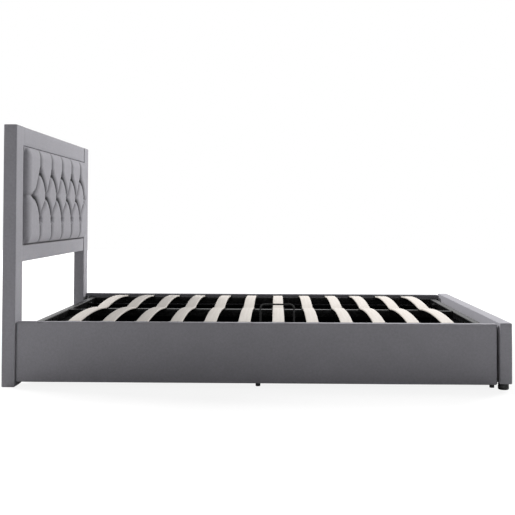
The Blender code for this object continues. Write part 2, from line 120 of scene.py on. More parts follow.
class Shade:
    """A node tree that is being filled in."""

    def __init__(self, tree: bpy.types.NodeTree) -> None:
        """Keep the tree to add to."""
        self.tree = tree

    def add(self, kind: str, inputs: dict | None = None, **settings) -> bpy.types.Node:
        """Add a node.

        Args:
            kind: The node's type name.
            inputs: Socket name or index to a value, or to an output socket to link from.
            settings: Properties set on the node itself.

        Returns:
            The new node.
        """
        node = self.tree.nodes.new(kind)
        for name, value in settings.items():
            setattr(node, name, value)
        for name, value in (inputs or {}).items():
            socket = node.inputs[name]
            if isinstance(value, bpy.types.NodeSocket):
                self.link(value, socket)
            else:
                socket.default_value = value
        return node

    def link(self, source: bpy.types.NodeSocket, target: bpy.types.NodeSocket) -> None:
        """Join an output to an input."""
        self.tree.links.new(source, target)

    def math(self, operation: str, first, second=0.0, clamp: bool = False) -> bpy.types.NodeSocket:
        """Add a Math node and return its output."""
        node = self.add("ShaderNodeMath", {0: first, 1: second}, operation=operation)
        node.use_clamp = clamp
        return node.outputs[0]

    def local(self) -> bpy.types.NodeSocket:
        """The object's own coordinates."""
        return self.add("ShaderNodeTexCoord").outputs["Object"]

    def painted(self, name: str) -> bpy.types.NodeSocket:
        """The numbers that paint() stored on the mesh."""
        return self.add("ShaderNodeAttribute", attribute_name=name).outputs["Fac"]

    def noise(self, vector, scale: float, detail: float = 3.0, rough: float = 0.55):
        """Add a Noise Texture node and return its factor output."""
        inputs = {"Vector": vector, "Scale": scale, "Detail": detail, "Roughness": rough}
        return self.add("ShaderNodeTexNoise", inputs).outputs[0]

    def ramp(self, factor, stops: list[Pair]) -> bpy.types.NodeSocket:
        """Add a grey ramp through (position, value) stops and return its colour output."""
        node = self.add("ShaderNodeValToRGB", {"Fac": factor})
        elements = node.color_ramp.elements
        for element, (place, value) in zip(elements, stops):
            element.position = place
            element.color = (value, value, value, 1.0)
        for place, value in stops[2:]:
            extra = elements.new(place)
            extra.color = (value, value, value, 1.0)
        return node.outputs[0]

    def mix(self, factor, first, second, blend: str = "MIX") -> bpy.types.NodeSocket:
        """Add a colour Mix node and return its colour output."""
        inputs = {0: factor, 6: first, 7: second}
        return self.add("ShaderNodeMix", inputs, data_type="RGBA", blend_type=blend).outputs[2]


def new_group(name: str, inputs: dict[str, object], outputs: list[str]) -> tuple:
    """Start a shader node group.

    Args:
        name: The group's name.
        inputs: Socket name to its default; a float, or None for a vector.
        outputs: The names of the float outputs.

    Returns:
        The group, its Shade, its input node and its output node.
    """
    group = bpy.data.node_groups.new(name, "ShaderNodeTree")
    for label, default in inputs.items():
        kind = "NodeSocketVector" if default is None else "NodeSocketFloat"
        socket = group.interface.new_socket(label, in_out="INPUT", socket_type=kind)
        if default is not None:
            socket.default_value = default
    for label in outputs:
        group.interface.new_socket(label, in_out="OUTPUT", socket_type="NodeSocketFloat")
    shade = Shade(group)
    return group, shade, shade.add("NodeGroupInput"), shade.add("NodeGroupOutput")


@lru_cache(maxsize=None)
def nap_group() -> bpy.types.NodeTree:
    """Pile that lies in brushed patches, with short fibres: outputs Patch and Fibre."""
    inputs = {"Vector": None, "Patch Scale": 9.0, "Fibre Scale": 420.0}
    group, shade, given, out = new_group("cloth_nap", inputs, ["Patch", "Fibre"])
    vector = given.outputs["Vector"]
    patch = shade.noise(vector, given.outputs["Patch Scale"], 4.0, 0.6)
    patch = shade.ramp(patch, [(0.36, 0.0), (0.66, 1.0)])
    fibre = shade.noise(vector, given.outputs["Fibre Scale"], 2.0, 0.7)
    flecks = shade.noise(vector, shade.math("MULTIPLY", given.outputs["Fibre Scale"], 0.31), 1.0)
    both = shade.math("ADD", shade.math("MULTIPLY", fibre, 0.6), shade.math("MULTIPLY", flecks, 0.4))
    shade.link(patch, out.inputs["Patch"])
    shade.link(both, out.inputs["Fibre"])
    return group


@lru_cache(maxsize=None)
def weave_group() -> bpy.types.NodeTree:
    """Plain weave of crossed threads: output Threads."""
    inputs = {"Vector": None, "Thread Scale": 700.0}
    group, shade, given, out = new_group("plain_weave", inputs, ["Threads"])
    parts = shade.add("ShaderNodeSeparateXYZ", {0: given.outputs["Vector"]})
    waves = []
    for axis in (0, 1, 2):
        turn = shade.math("MULTIPLY", parts.outputs[axis], given.outputs["Thread Scale"])
        waves.append(shade.math("ABSOLUTE", shade.math("SINE", turn)))
    threads = shade.math("MAXIMUM", shade.math("MAXIMUM", waves[0], waves[1]), waves[2])
    shade.link(threads, out.inputs["Threads"])
    return group


@lru_cache(maxsize=None)
def grain_group() -> bpy.types.NodeTree:
    """Wood grain along local Y: outputs Streak, Pore and Ring."""
    inputs = {"Vector": None, "Streak Scale": 60.0, "Pore Scale": 260.0}
    group, shade, given, out = new_group("wood_grain", inputs, ["Streak", "Pore", "Ring"])
    stretch = shade.add("ShaderNodeMapping", {"Vector": given.outputs["Vector"]})
    stretch.inputs["Scale"].default_value = (1.0, 0.045, 1.0)
    drawn = stretch.outputs[0]
    streak = shade.noise(drawn, given.outputs["Streak Scale"], 5.0, 0.6)
    pore = shade.noise(drawn, given.outputs["Pore Scale"], 2.0, 0.5)
    ring_inputs = {"Vector": drawn, "Scale": 22.0, "Distortion": 3.2, "Detail": 2.0}
    ring = shade.add("ShaderNodeTexWave", ring_inputs, bands_direction="X")
    shade.link(streak, out.inputs["Streak"])
    shade.link(shade.ramp(pore, [(0.56, 0.0), (0.74, 1.0)]), out.inputs["Pore"])
    shade.link(ring.outputs[1], out.inputs["Ring"])
    return group


@lru_cache(maxsize=None)
def wear_group() -> bpy.types.NodeTree:
    """Rubbed edges and faint marks: outputs Edge and Mark."""
    inputs = {"Vector": None, "Edge Amount": 0.6, "Mark Scale": 14.0}
    group, shade, given, out = new_group("edge_wear", inputs, ["Edge", "Mark"])
    geometry = shade.add("ShaderNodeNewGeometry")
    sharp = shade.ramp(geometry.outputs["Pointiness"], [(0.52, 0.0), (0.62, 1.0)])
    broken = shade.ramp(shade.noise(given.outputs["Vector"], 90.0), [(0.42, 0.0), (0.62, 1.0)])
    edge = shade.math("MULTIPLY", shade.math("MULTIPLY", sharp, broken), given.outputs["Edge Amount"])
    mark = shade.noise(given.outputs["Vector"], given.outputs["Mark Scale"], 6.0, 0.65)
    shade.link(edge, out.inputs["Edge"])
    shade.link(shade.ramp(mark, [(0.45, 0.0), (0.72, 1.0)]), out.inputs["Mark"])
    return group


def use_group(shade: Shade, group: bpy.types.NodeTree, values: dict) -> bpy.types.Node:
    """Place a node group in a material, fed with object coordinates.

    Args:
        shade: The material's tree.
        group: The node group.
        values: Input name to value.

    Returns:
        The group node.
    """
    node = shade.add("ShaderNodeGroup", node_tree=group)
    shade.link(shade.local(), node.inputs["Vector"])
    for name, value in values.items():
        node.inputs[name].default_value = value
    return node


def start_material(name: str, constants: dict) -> tuple:
    """Make a material with one Principled shader.

    Args:
        name: The material's name.
        constants: Principled socket name to its constant value.

    Returns:
        The material, its Shade and its Principled node.
    """
    material = bpy.data.materials.new(name)
    material.use_nodes = True
    shader = material.node_tree.nodes["Principled BSDF"]
    for socket, value in constants.items():
        shader.inputs[socket].default_value = value
    return material, Shade(material.node_tree), shader


def grey(value: float) -> tuple[float, float, float, float]:
    """A neutral colour."""
    return (value, value, value, 1.0)


def tint(colour: Point, gain: float = 1.0) -> tuple[float, float, float, float]:
    """A colour with alpha, made lighter or darker by gain."""
    return (colour[0] * gain, colour[1] * gain, colour[2] * gain, 1.0)


def add_bump(shade: Shade, shader, height, strength: float, distance: float) -> None:
    """Feed a height into the shader's normal through a Bump node."""
    inputs = {"Height": height, "Strength": strength, "Distance": distance}
    bump = shade.add("ShaderNodeBump", inputs)
    shade.link(bump.outputs[0], shader.inputs["Normal"])


def add_wear(shade: Shade, shader, wear, worn: str, colours: tuple, rough: Pair) -> None:
    """Mix two colours by a wear output, and let the faint marks vary the roughness."""
    shade.link(shade.mix(wear.outputs[worn], *colours), shader.inputs["Base Color"])
    marks = shade.ramp(wear.outputs["Mark"], [(0.0, rough[0]), (1.0, rough[1])])
    shade.link(marks, shader.inputs["Roughness"])


# --- finishes --------------------------------------------------------------------------------


@dataclass(frozen=True)
class Velvet:
    """Short-pile upholstery velvet, lighter where the pile is brushed towards the eye, and darkened
    by painted shade where a mesh marks its creases and gaps.
    """

    name: str = "grey_velvet"
    colour: Point = (0.205, 0.201, 0.219)
    patch_gain: float = 1.05
    fleck_gain: float = 0.92
    # Share of the colour left in the painted shade of folds and gaps.
    fold_gain: float = 0.10
    sheen: float = 0.20

    def build(self) -> bpy.types.Material:
        """Make the material."""
        constants = {
            "Roughness": 0.82,
            "Specular IOR Level": 0.25,
            "Sheen Weight": self.sheen,
            "Sheen Roughness": 0.42,
            "Sheen Tint": (0.86, 0.85, 0.90, 1.0),
        }
        material, shade, shader = start_material(self.name, constants)
        nap = use_group(shade, nap_group(), {"Patch Scale": 7.0, "Fibre Scale": 330.0})
        base = shade.mix(nap.outputs["Patch"], tint(self.colour), tint(self.colour, self.patch_gain))
        fleck = shade.ramp(nap.outputs["Fibre"], [(0.34, self.fleck_gain), (0.62, 1.08)])
        colour = shade.mix(1.0, base, fleck, "MULTIPLY")
        # Painted shade: the colour is darkened where the mesh's stored fold numbers are high, in the
        # tufted pad's creases and in the shadow gap at the side rails' foot ends.
        fold = shade.painted("fold")
        colour = shade.mix(fold, colour, tint(self.colour, self.fold_gain))
        shade.link(colour, shader.inputs["Base Color"])
        add_bump(shade, shader, nap.outputs["Fibre"], 0.22, 0.0010)
        return material


@dataclass(frozen=True)
class Birch:
    """Pale lacquered birch ply, with grain along the slat and darker layers on its edges."""

    name: str = "pale_birch"
    colour: Point = (0.520, 0.487, 0.455)
    dark: Point = (0.435, 0.395, 0.350)
    layers: float = 5.0

    def build(self) -> bpy.types.Material:
        """Make the material."""
        constants = {
            "Roughness": 0.62,
            "Specular IOR Level": 0.28,
            "Coat Weight": 0.04,
            "Coat Roughness": 0.4,
        }
        material, shade, shader = start_material(self.name, constants)
        grain = use_group(shade, grain_group(), {"Streak Scale": 70.0, "Pore Scale": 320.0})
        streak = shade.ramp(grain.outputs["Streak"], [(0.35, 0.0), (0.70, 0.55)])
        body = shade.mix(streak, tint(self.colour), tint(self.dark))
        ring = shade.ramp(grain.outputs["Ring"], [(0.0, 1.0), (1.0, 0.955)])
        body = shade.mix(1.0, body, ring, "MULTIPLY")
        pore = shade.ramp(grain.outputs["Pore"], [(0.0, 1.0), (1.0, 0.86)])
        body = shade.mix(1.0, body, pore, "MULTIPLY")
        layer = shade.painted("ply_layer")
        band = shade.math("SINE", shade.math("MULTIPLY", layer, self.layers * math.pi))
        edge = shade.painted("ply_edge")
        dark = shade.math("MULTIPLY", shade.math("GREATER_THAN", band, 0.0), edge)
        body = shade.mix(shade.math("MULTIPLY", dark, 0.6), body, tint(self.dark, 0.8))
        shade.link(body, shader.inputs["Base Color"])
        add_bump(shade, shader, grain.outputs["Pore"], -0.12, 0.0004)
        return material


@dataclass(frozen=True)
class PaintedMetal:
    """Painted or powder-coated steel with a fine orange peel and rubbed edges."""

    name: str
    colour: Point
    roughness: float
    edge_colour: Point = (0.035, 0.035, 0.036)
    peel: float = 0.10

    def build(self) -> bpy.types.Material:
        """Make the material."""
        constants = {"Roughness": self.roughness, "Specular IOR Level": 0.12}
        material, shade, shader = start_material(self.name, constants)
        wear = use_group(shade, wear_group(), {"Edge Amount": 0.55, "Mark Scale": 18.0})
        rough = (self.roughness * 0.95, min(1.0, self.roughness * 1.15))
        add_wear(shade, shader, wear, "Edge", (tint(self.colour), tint(self.edge_colour)), rough)
        add_bump(shade, shader, shade.noise(shade.local(), 900.0, 2.0), self.peel, 0.0004)
        return material


@dataclass(frozen=True)
class BareMetal:
    """Plated or polished steel."""

    name: str
    colour: Point
    roughness: float
    scratch: float = 0.10

    def build(self) -> bpy.types.Material:
        """Make the material."""
        constants = {"Roughness": self.roughness, "Metallic": 1.0}
        material, shade, shader = start_material(self.name, constants)
        wear = use_group(shade, wear_group(), {"Edge Amount": 0.4, "Mark Scale": 55.0})
        rough = (self.roughness, self.roughness + self.scratch)
        add_wear(shade, shader, wear, "Mark", (tint(self.colour), tint(self.colour, 0.72)), rough)
        return material


@dataclass(frozen=True)
class LiningCloth:
    """Black spun lining, dull, with a faint weave and lint."""

    name: str = "black_lining"
    colour: Point = (0.0030, 0.0030, 0.0033)

    def build(self) -> bpy.types.Material:
        """Make the material."""
        constants = {"Roughness": 0.95, "Specular IOR Level": 0.05}
        material, shade, shader = start_material(self.name, constants)
        weave = use_group(shade, weave_group(), {"Thread Scale": 1500.0})
        nap = use_group(shade, nap_group(), {"Patch Scale": 12.0, "Fibre Scale": 240.0})
        lint = shade.ramp(nap.outputs["Fibre"], [(0.40, 0.75), (0.68, 1.7)])
        colour = shade.mix(1.0, tint(self.colour), lint, "MULTIPLY")
        shade.link(colour, shader.inputs["Base Color"])
        add_bump(shade, shader, weave.outputs["Threads"], 0.3, 0.0006)
        return material


@dataclass(frozen=True)
class Moulded:
    """Moulded plastic or rubber with a fine spark-eroded grain and scuffs."""

    name: str
    colour: Point
    roughness: float

    def build(self) -> bpy.types.Material:
        """Make the material."""
        constants = {"Roughness": self.roughness, "Specular IOR Level": 0.35}
        material, shade, shader = start_material(self.name, constants)
        wear = use_group(shade, wear_group(), {"Edge Amount": 0.5, "Mark Scale": 60.0})
        rough = (self.roughness, min(1.0, self.roughness + 0.2))
        add_wear(shade, shader, wear, "Edge", (tint(self.colour), tint(self.colour, 2.6)), rough)
        add_bump(shade, shader, shade.noise(shade.local(), 1400.0, 2.0), 0.12, 0.0003)
        return material


@dataclass(frozen=True)
class PaleFloor:
    """A seamless near-white studio floor."""

    name: str = "pale_floor"
    colour: Point = (0.82, 0.82, 0.82)
    lift: float = 0.86
    glow_near: float = 1.02
    glow_far: float = 1.45
    near: float = 1.6
    far: float = 4.5

    def build(self) -> bpy.types.Material:
        """Make the material."""
        constants = {"Roughness": 0.9, "Specular IOR Level": 0.1, "Base Color": tint(self.colour)}
        material, shade, shader = start_material(self.name, constants)
        length = shade.add("ShaderNodeVectorMath", {0: shade.local()}, operation="LENGTH")
        distance = length.outputs["Value"]
        spans = {0: distance, 1: self.near, 2: self.far, 3: self.glow_near, 4: self.glow_far}
        strength = shade.add("ShaderNodeMapRange", spans).outputs[0]
        glow = shade.add("ShaderNodeEmission", {"Color": grey(1.0), "Strength": strength})
        seen = shade.add("ShaderNodeLightPath").outputs["Is Camera Ray"]
        share = shade.math("MULTIPLY", seen, self.lift)
        mixed = shade.add("ShaderNodeMixShader", {0: share})
        shade.link(shader.outputs[0], mixed.inputs[1])
        shade.link(glow.outputs[0], mixed.inputs[2])
        output = material.node_tree.nodes["Material Output"]
        shade.link(mixed.outputs[0], output.inputs["Surface"])
        return material


class Finishes:
    """Every material of the bed, each built once."""

    def __init__(self) -> None:
        """Build the materials."""
        self.velvet = Velvet().build()
        self.birch = Birch().build()
        coat = (0.0030, 0.0030, 0.0031)
        self.frame_steel = PaintedMetal("black_powder_coat", coat, 0.28, peel=0.04).build()
        gloss = (0.006, 0.006, 0.0065)
        self.strut_black = PaintedMetal("strut_black", gloss, 0.20, peel=0.04).build()
        self.zinc = BareMetal("zinc_plate", (0.11, 0.112, 0.116), 0.60).build()
        self.chrome = BareMetal("rod_chrome", (0.60, 0.61, 0.62), 0.12, 0.05).build()
        self.lining = LiningCloth().build()
        self.board = LiningCloth("black_board_cover", (0.0035, 0.0035, 0.0038)).build()
        self.coated = Moulded("black_sleeve", (0.0028, 0.0028, 0.0030), 0.7).build()
        self.plastic = Moulded("black_plastic", (0.0065, 0.0065, 0.0070), 0.38).build()
        self.glide = Moulded("grey_glide_plastic", (0.10, 0.10, 0.105), 0.5).build()
        self.rubber = Moulded("seat_rubber", (0.0055, 0.0055, 0.0055), 0.22).build()
        self.floor = PaleFloor().build()


# --- mesh helpers ----------------------------------------------------------------------------


def add_piece(
    name: str,
    shape: Shape,
    material: bpy.types.Material,
    body: Body,
    slot: Slot,
    origin: Point = ORIGIN,
    replaces: tuple[str, ...] = (),
    smooth_angle: float = 45.0,
) -> bpy.types.Object:
    """Make a mesh piece and let it ride on a body.

    Args:
        name: The piece's name.
        shape: Its vertex places in the bed's frame, and the vertex indices of each face.
        material: Its finish.
        body: The body that it moves with.
        slot: The record's slot for the piece; not used.
        origin: Where the object's own origin goes, which its texture is counted from.
        replaces: The CAD nodes that it stands for.
        smooth_angle: Edges sharper than this many degrees stay crisp.

    Returns:
        The object.
    """
    points, faces = shape
    mesh = make_mesh(name, (points - np.array(origin, float), faces), material, smooth_angle)
    obj = place_mesh(mesh, name, Matrix.Translation(origin), body)
    if replaces:
        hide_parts(*replaces)
    return obj


def make_mesh(
    name: str, shape: Shape, material: bpy.types.Material, smooth_angle: float
) -> bpy.types.Mesh:
    """A smooth mesh that keeps edges sharper than smooth_angle degrees crisp."""
    mesh = bpy.data.meshes.new(name)
    mesh.from_pydata(shape[0].tolist(), [], shape[1])
    mesh.validate()
    mesh.materials.append(material)
    mesh.shade_smooth()
    mesh.set_sharp_from_angle(angle=math.radians(smooth_angle))
    return mesh


def place_mesh(
    mesh: bpy.types.Mesh, name: str, matrix: Matrix, body: Body
) -> bpy.types.Object:
    """Put a mesh at a place as a piece that rides on a body."""
    obj = bpy.data.objects.new(name, mesh)
    obj.matrix_world = matrix
    bpy.context.scene.collection.objects.link(obj)
    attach(obj, body.value)
    return obj


def paint(obj: bpy.types.Object, name: str, values: np.ndarray) -> None:
    """Store one number for each vertex, which a material reads by name."""
    attribute = obj.data.attributes.new(name, "FLOAT", "POINT")
    attribute.data.foreach_set("value", np.asarray(values, np.float32))


def grid_quads(ids: np.ndarray) -> Faces:
    """The quads of a grid of vertex indices."""
    corners = (ids[:-1, :-1], ids[:-1, 1:], ids[1:, 1:], ids[1:, :-1])
    return list(zip(*(corner.ravel().tolist() for corner in corners)))


def edge_lines(low: float, high: float, radius: float, steps: int, spacing: float) -> np.ndarray:
    """Grid lines across a block: at even angles over its rounded edges, even between them."""
    swing = np.tan(np.linspace(0.0, math.pi / 4, steps + 1)) * radius
    count = max(1, round((high - low - 2 * radius) / spacing))
    flat = np.linspace(low + radius, high - radius, count + 1)[1:-1]
    return np.concatenate([low + radius - swing[::-1], flat, high - radius + swing])


def lattice_skin(lines: list[np.ndarray]) -> Shape:
    """The outer skin of a lattice of three sets of grid lines, as shared points and quads."""
    counts = [len(line) for line in lines]
    inner = np.zeros(counts, bool)
    inner[1:-1, 1:-1, 1:-1] = True
    places = np.argwhere(~inner)
    ids = np.full(counts, -1)
    ids[tuple(places.T)] = np.arange(len(places))
    points = np.stack([lines[axis][places[:, axis]] for axis in range(3)], axis=1)
    faces: Faces = []
    for axis in range(3):
        for index, outward in ((0, False), (-1, True)):
            grid = np.take(ids, index, axis=axis)
            if outward == (axis == 1):
                grid = grid[::-1]
            faces += grid_quads(grid.T)
    return points, faces


def lathe(profile: list[Pair], steps: int = 48) -> Shape:
    """Turn a profile of (radius, height) round Z; ends at radius 0 close it."""
    points: list[Point] = []
    rings: list[list[int]] = []
    for radius, height in profile:
        start = len(points)
        count = 1 if radius < 1e-9 else steps
        for step in range(count):
            angle = 2 * math.pi * step / steps
            points.append((radius * math.cos(angle), radius * math.sin(angle), height))
        rings.append(list(range(start, start + count)))
    faces: Faces = []
    for first, second in zip(rings, rings[1:]):
        for step in range(steps):
            after = (step + 1) % steps
            quad = [first[step % len(first)], first[after % len(first)]]
            quad += [second[after % len(second)], second[step % len(second)]]
            unique = tuple(dict.fromkeys(quad))
            if len(unique) > 2:
                faces.append(unique)
    return np.array(points), faces


def sweep(path: np.ndarray, section: np.ndarray, scales: np.ndarray | None = None):
    """Carry a closed section along a path, turning it as little as possible, and cap the ends.

    Args:
        path: The points of the path.
        section: (across, up) points of the section, anticlockwise seen along the path.
        scales: A size factor for each path point.

    Returns:
        The points and the faces.
    """
    count = len(section)
    tangents = np.gradient(path, axis=0)
    tangents /= np.linalg.norm(tangents, axis=1, keepdims=True)
    up = np.array((0.0, 0.0, 1.0)) if abs(tangents[0, 2]) < 0.9 else np.array((0.0, 1.0, 0.0))
    points = []
    for index, (place, tangent) in enumerate(zip(path, tangents)):
        across = np.cross(tangent, up)
        across /= np.linalg.norm(across)
        up = np.cross(across, tangent)
        size = 1.0 if scales is None else scales[index]
        points.append(place + size * (section[:, :1] * across + section[:, 1:] * up))
    faces: Faces = []
    for ring in range(len(path) - 1):
        base = ring * count
        for step in range(count):
            after = (step + 1) % count
            faces.append((base + step, base + after, base + count + after, base + count + step))
    faces.append(tuple(range(count))[::-1])
    faces.append(tuple(range((len(path) - 1) * count, len(path) * count)))
    return np.concatenate(points), faces


def circle(radius: float, steps: int = 20) -> np.ndarray:
    """The points of a circle in a section's own plane."""
    angles = np.linspace(0, 2 * math.pi, steps, endpoint=False)
    return np.stack([radius * np.cos(angles), radius * np.sin(angles)], axis=1)


def join_shapes(shapes: list[Shape]) -> Shape:
    """Put several shapes into one set of points and faces."""
    points, faces, start = [], [], 0
    for some_points, some_faces in shapes:
        points.append(some_points)
        faces += [tuple(index + start for index in face) for face in some_faces]
        start += len(some_points)
    return np.concatenate(points), faces


def turned_to(points: np.ndarray, axis: Vector, place: Point) -> np.ndarray:
    """Turn points made round Z so that Z lies along axis, and move them to a place."""
    turn = np.array(UP.rotation_difference(Vector(axis)).to_matrix())
    return points @ turn.T + np.asarray(place, float)


def turned_lathe(profile: list[Pair], steps: int, axis: Vector, place: Point) -> Shape:
    """Turn a profile round an axis through a place."""
    points, faces = lathe(profile, steps)
    return turned_to(points, axis, place), faces


@dataclass(frozen=True)
class SoftBlock:
    """A block with round edges whose faces swell a little, as cloth over thin foam does."""

    low: Point
    high: Point
    radius: float
    swell: float = 0.0005
    swell_reach: float = 0.035
    ripple: float = 0.0004
    spacing: float = 0.020
    steps: int = 3
    seed: float = 0.0

    def shape(self) -> Shape:
        """The block's points and faces, all inside its own corners."""
        low, high = np.array(self.low, float), np.array(self.high, float)
        pairs = zip(low, high)
        lines = [edge_lines(a, b, self.radius, self.steps, self.spacing) for a, b in pairs]
        points, faces = lattice_skin(lines)
        core = np.clip(points, low + self.radius, high - self.radius)
        out = points - core
        out /= np.linalg.norm(out, axis=1, keepdims=True)
        points = core + out * self.radius
        if self.swell or self.ripple:
            points -= out * self.sink(points, out, low, high)[:, None]
        return points, faces

    def sink(
        self, points: np.ndarray, out: np.ndarray, low: np.ndarray, high: np.ndarray
    ) -> np.ndarray:
        """How far each point lies inside the block's own faces."""
        room = np.minimum(points - low, high - points)
        room = np.where(np.abs(out) > 0.5, 1.0, room).min(axis=1)
        fall = self.swell * np.exp(-room / self.swell_reach)
        shift = Vector((self.seed, self.seed * 0.7, -self.seed))
        wave = [noise.noise(Vector(point) * 6.0 + shift) for point in points]
        fine = [noise.noise(Vector(point) * 23.0 - shift) for point in points]
        mixed = 0.7 * np.array(wave) + 0.3 * np.array(fine)
        return fall + self.ripple * (0.5 + 0.5 * np.clip(mixed * 1.6, -1.0, 1.0))


# --- headboard -------------------------------------------------------------------------------


@dataclass(frozen=True)
class Fold:
    """A crease of the tufting: (y, z) points, a depth at each, and how closely it shuts."""

    path: np.ndarray
    depths: np.ndarray
    shut: float


@dataclass
class TuftedPad:
    """The deep-buttoned pad: diamond folds between buttons, and pleats out to its edges."""

    finish: bpy.types.Material
    pitch: float = 0.208
    row_gap: float = 0.104
    top_room: float = 0.0015
    corner_r: float = 0.035
    edge_roll: float = 0.046
    edge_height: float = 0.0405
    button_depth: float = 0.0240
    fold_depth: float = 0.0200
    edge_depth: float = 0.0140
    fold_width: float = 0.033
    fold_steps: int = 13
    sag_power: float = 1.6
    pleat_power: float = 0.6
    depth_room: float = 0.001
    blend_power: float = 5.0
    dimple_r: float = 0.020
    gathers: int = 11
    gather_depth: float = 0.0008
    gather_r: float = 0.022
    gather_spread: float = 0.013
    bow: float = 0.0050
    belly: float = 0.0160
    loose_shut: float = 0.55
    edge_share: float = 0.35
    side_share: float = 0.9
    crease_r: float = 0.0042
    hollow_r: float = 0.0105
    hollow_shade: float = 0.88
    spacing: float = 0.0030
    button_r: float = 0.0115
    button_dome: float = 0.0045
    button_proud: float = 0.0005

    def __post_init__(self) -> None:
        """Read the pad's place from its CAD node."""
        self.low, self.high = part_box("headboard_tufted_pad")
        self.mid_z = (self.low.z + self.high.z) / 2
        self.crown = self.high.x - self.low.x - self.top_room

    def rows(self) -> list[list[Pair]]:
        """The (y, z) of the buttons, top row first."""
        outer = [self.pitch * step for step in range(-2, 3)]
        middle = [self.pitch * (step + 0.5) for step in range(-3, 3)]
        top, bottom = self.mid_z + self.row_gap, self.mid_z - self.row_gap
        rows = [(outer, top), (middle, self.mid_z), (outer, bottom)]
        return [[(y, z) for y in row] for row, z in rows]

    def folds(self) -> list[Fold]:
        """The diagonal folds, then the pleats to the edges."""
        top, middle, bottom = self.rows()
        folds = []
        for row in (top, bottom):
            for start in middle:
                for end in row:
                    if abs(start[0] - end[0]) < self.pitch * 0.6:
                        folds.append(self.fold(start, end, self.button_depth))
        for row, edge_z in ((top, self.high.z), (bottom, self.low.z)):
            for y, z in row:
                folds.append(self.fold((y, z), (y, edge_z), self.edge_depth))
        for y, z in (middle[0], middle[-1]):
            edge_y = self.low.y if y < 0 else self.high.y
            folds.append(self.fold((y, z), (edge_y, z), self.edge_depth * self.side_share))
        return folds

    def fold(self, start: Pair, end: Pair, end_depth: float) -> Fold:
        """One fold from a button; the cloth is drawn one way, so falling folds belly out."""
        along = np.linspace(0.0, 1.0, self.fold_steps)
        first, last = np.array(start), np.array(end)
        run = last - first
        slope = run[0] * run[1]
        normal = np.array((-run[1], run[0])) / np.linalg.norm(run)
        normal *= np.sign(normal[0]) or 1.0
        belly = self.belly if slope < -1e-9 else 0.0
        sway = self.bow * np.sin(2 * math.pi * along) if slope > 1e-9 else 0.0 * along
        sway = sway + belly * np.sin(math.pi * along)
        path = first + run * along[:, None] + normal * sway[:, None]
        shut = 1.0 if slope < -1e-9 else self.loose_shut
        if end_depth == self.button_depth:
            rise = np.abs(2 * along - 1) ** self.sag_power
            depths = self.fold_depth + (self.button_depth - self.fold_depth) * rise
        else:
            depths = self.button_depth + (end_depth - self.button_depth) * along**self.pleat_power
        return Fold(path, depths, shut)

    def surface(self, y: np.ndarray, z: np.ndarray) -> tuple[np.ndarray, np.ndarray]:
        """How far the cover stands off the pad's back at each (y, z), and how much painted shade its
        folds get.
        """
        sides = np.minimum(y - self.low.y, self.high.y - y)
        ends = np.minimum(z - self.low.z, self.high.z - z)
        near = np.minimum(sides, ends)
        corner = self.corner_r
        both = (sides < corner) & (ends < corner)
        round_off = corner - np.hypot(corner - sides, corner - ends)
        near = np.where(both, np.minimum(near, round_off), near)
        lift = np.clip(near / self.edge_roll, 0.0, 1.0)
        roll = np.sqrt(np.clip(1 - (1 - lift) ** 2, 0.0, 1.0))
        full = self.edge_height + (self.crown - self.edge_height) * roll
        drop, painted_shade = self.pull(y, z)
        return full - drop * (self.edge_share + (1 - self.edge_share) * lift), painted_shade

    def pull(self, y: np.ndarray, z: np.ndarray) -> tuple[np.ndarray, np.ndarray]:
        """How far the folds and buttons pull the cover in, and how much painted shade their creases
        get.

        Args:
            y: Places along the bed's width.
            z: Heights.

        Returns:
            The depth in metres and the painted shade from 0 to 1, at each (y, z).
        """
        drop = np.zeros_like(y)
        gathers = np.zeros_like(y)
        painted_shade = np.zeros_like(y)
        for fold in self.folds():
            pull = np.zeros_like(y)
            for index in range(len(fold.path) - 1):
                start, end = fold.path[index], fold.path[index + 1]
                run = end - start
                share = ((y - start[0]) * run[0] + (z - start[1]) * run[1]) / (run @ run)
                share = np.clip(share, 0.0, 1.0)
                away = np.hypot(y - start[0] - share * run[0], z - start[1] - share * run[1])
                depth = fold.depths[index] * (1 - share) + fold.depths[index + 1] * share
                strength = fold.shut * np.clip(depth / self.fold_depth, 0.0, 1.0)
                # Painted shade: a narrow dark line along the crease, and a wider, fainter shade over
                # the hollow beside it.
                crease = np.exp(-((away / self.crease_r) ** 2))
                hollow = self.hollow_shade * np.exp(-((away / self.hollow_r) ** 2))
                painted_shade = np.maximum(painted_shade, strength * np.maximum(crease, hollow))
                nearness = np.clip(1 - away / self.fold_width, 0.0, 1.0)
                shoulder = 1 - np.sqrt(1 - nearness**2)
                pull = np.maximum(pull, depth * shoulder)
            drop += pull**self.blend_power
        for row in self.rows():
            for button_y, button_z in row:
                away = np.hypot(y - button_y, z - button_z)
                dimple = self.button_depth * np.exp(-((away / self.dimple_r) ** 2))
                drop += dimple**self.blend_power
                angle = np.arctan2(z - button_z, y - button_y)
                ring = np.exp(-((away - self.gather_r) / self.gather_spread) ** 2)
                gathers += self.gather_depth * np.sin(self.gathers * angle) * ring
        deepest = self.button_depth + self.depth_room
        pulled = np.minimum(drop ** (1 / self.blend_power), deepest)
        return pulled + gathers, painted_shade

    def build(self) -> list[bpy.types.Object]:
        """Make the pad and its buttons."""
        pad = self.cover()
        pieces = [pad]
        for row_index, row in enumerate(self.rows()):
            for count, place in enumerate(row):
                pieces.append(self.button(f"tuft_button_{row_index + 1}_{count + 1}", place))
        LOG.info("tufted pad with %d buttons", len(pieces) - 1)
        return pieces

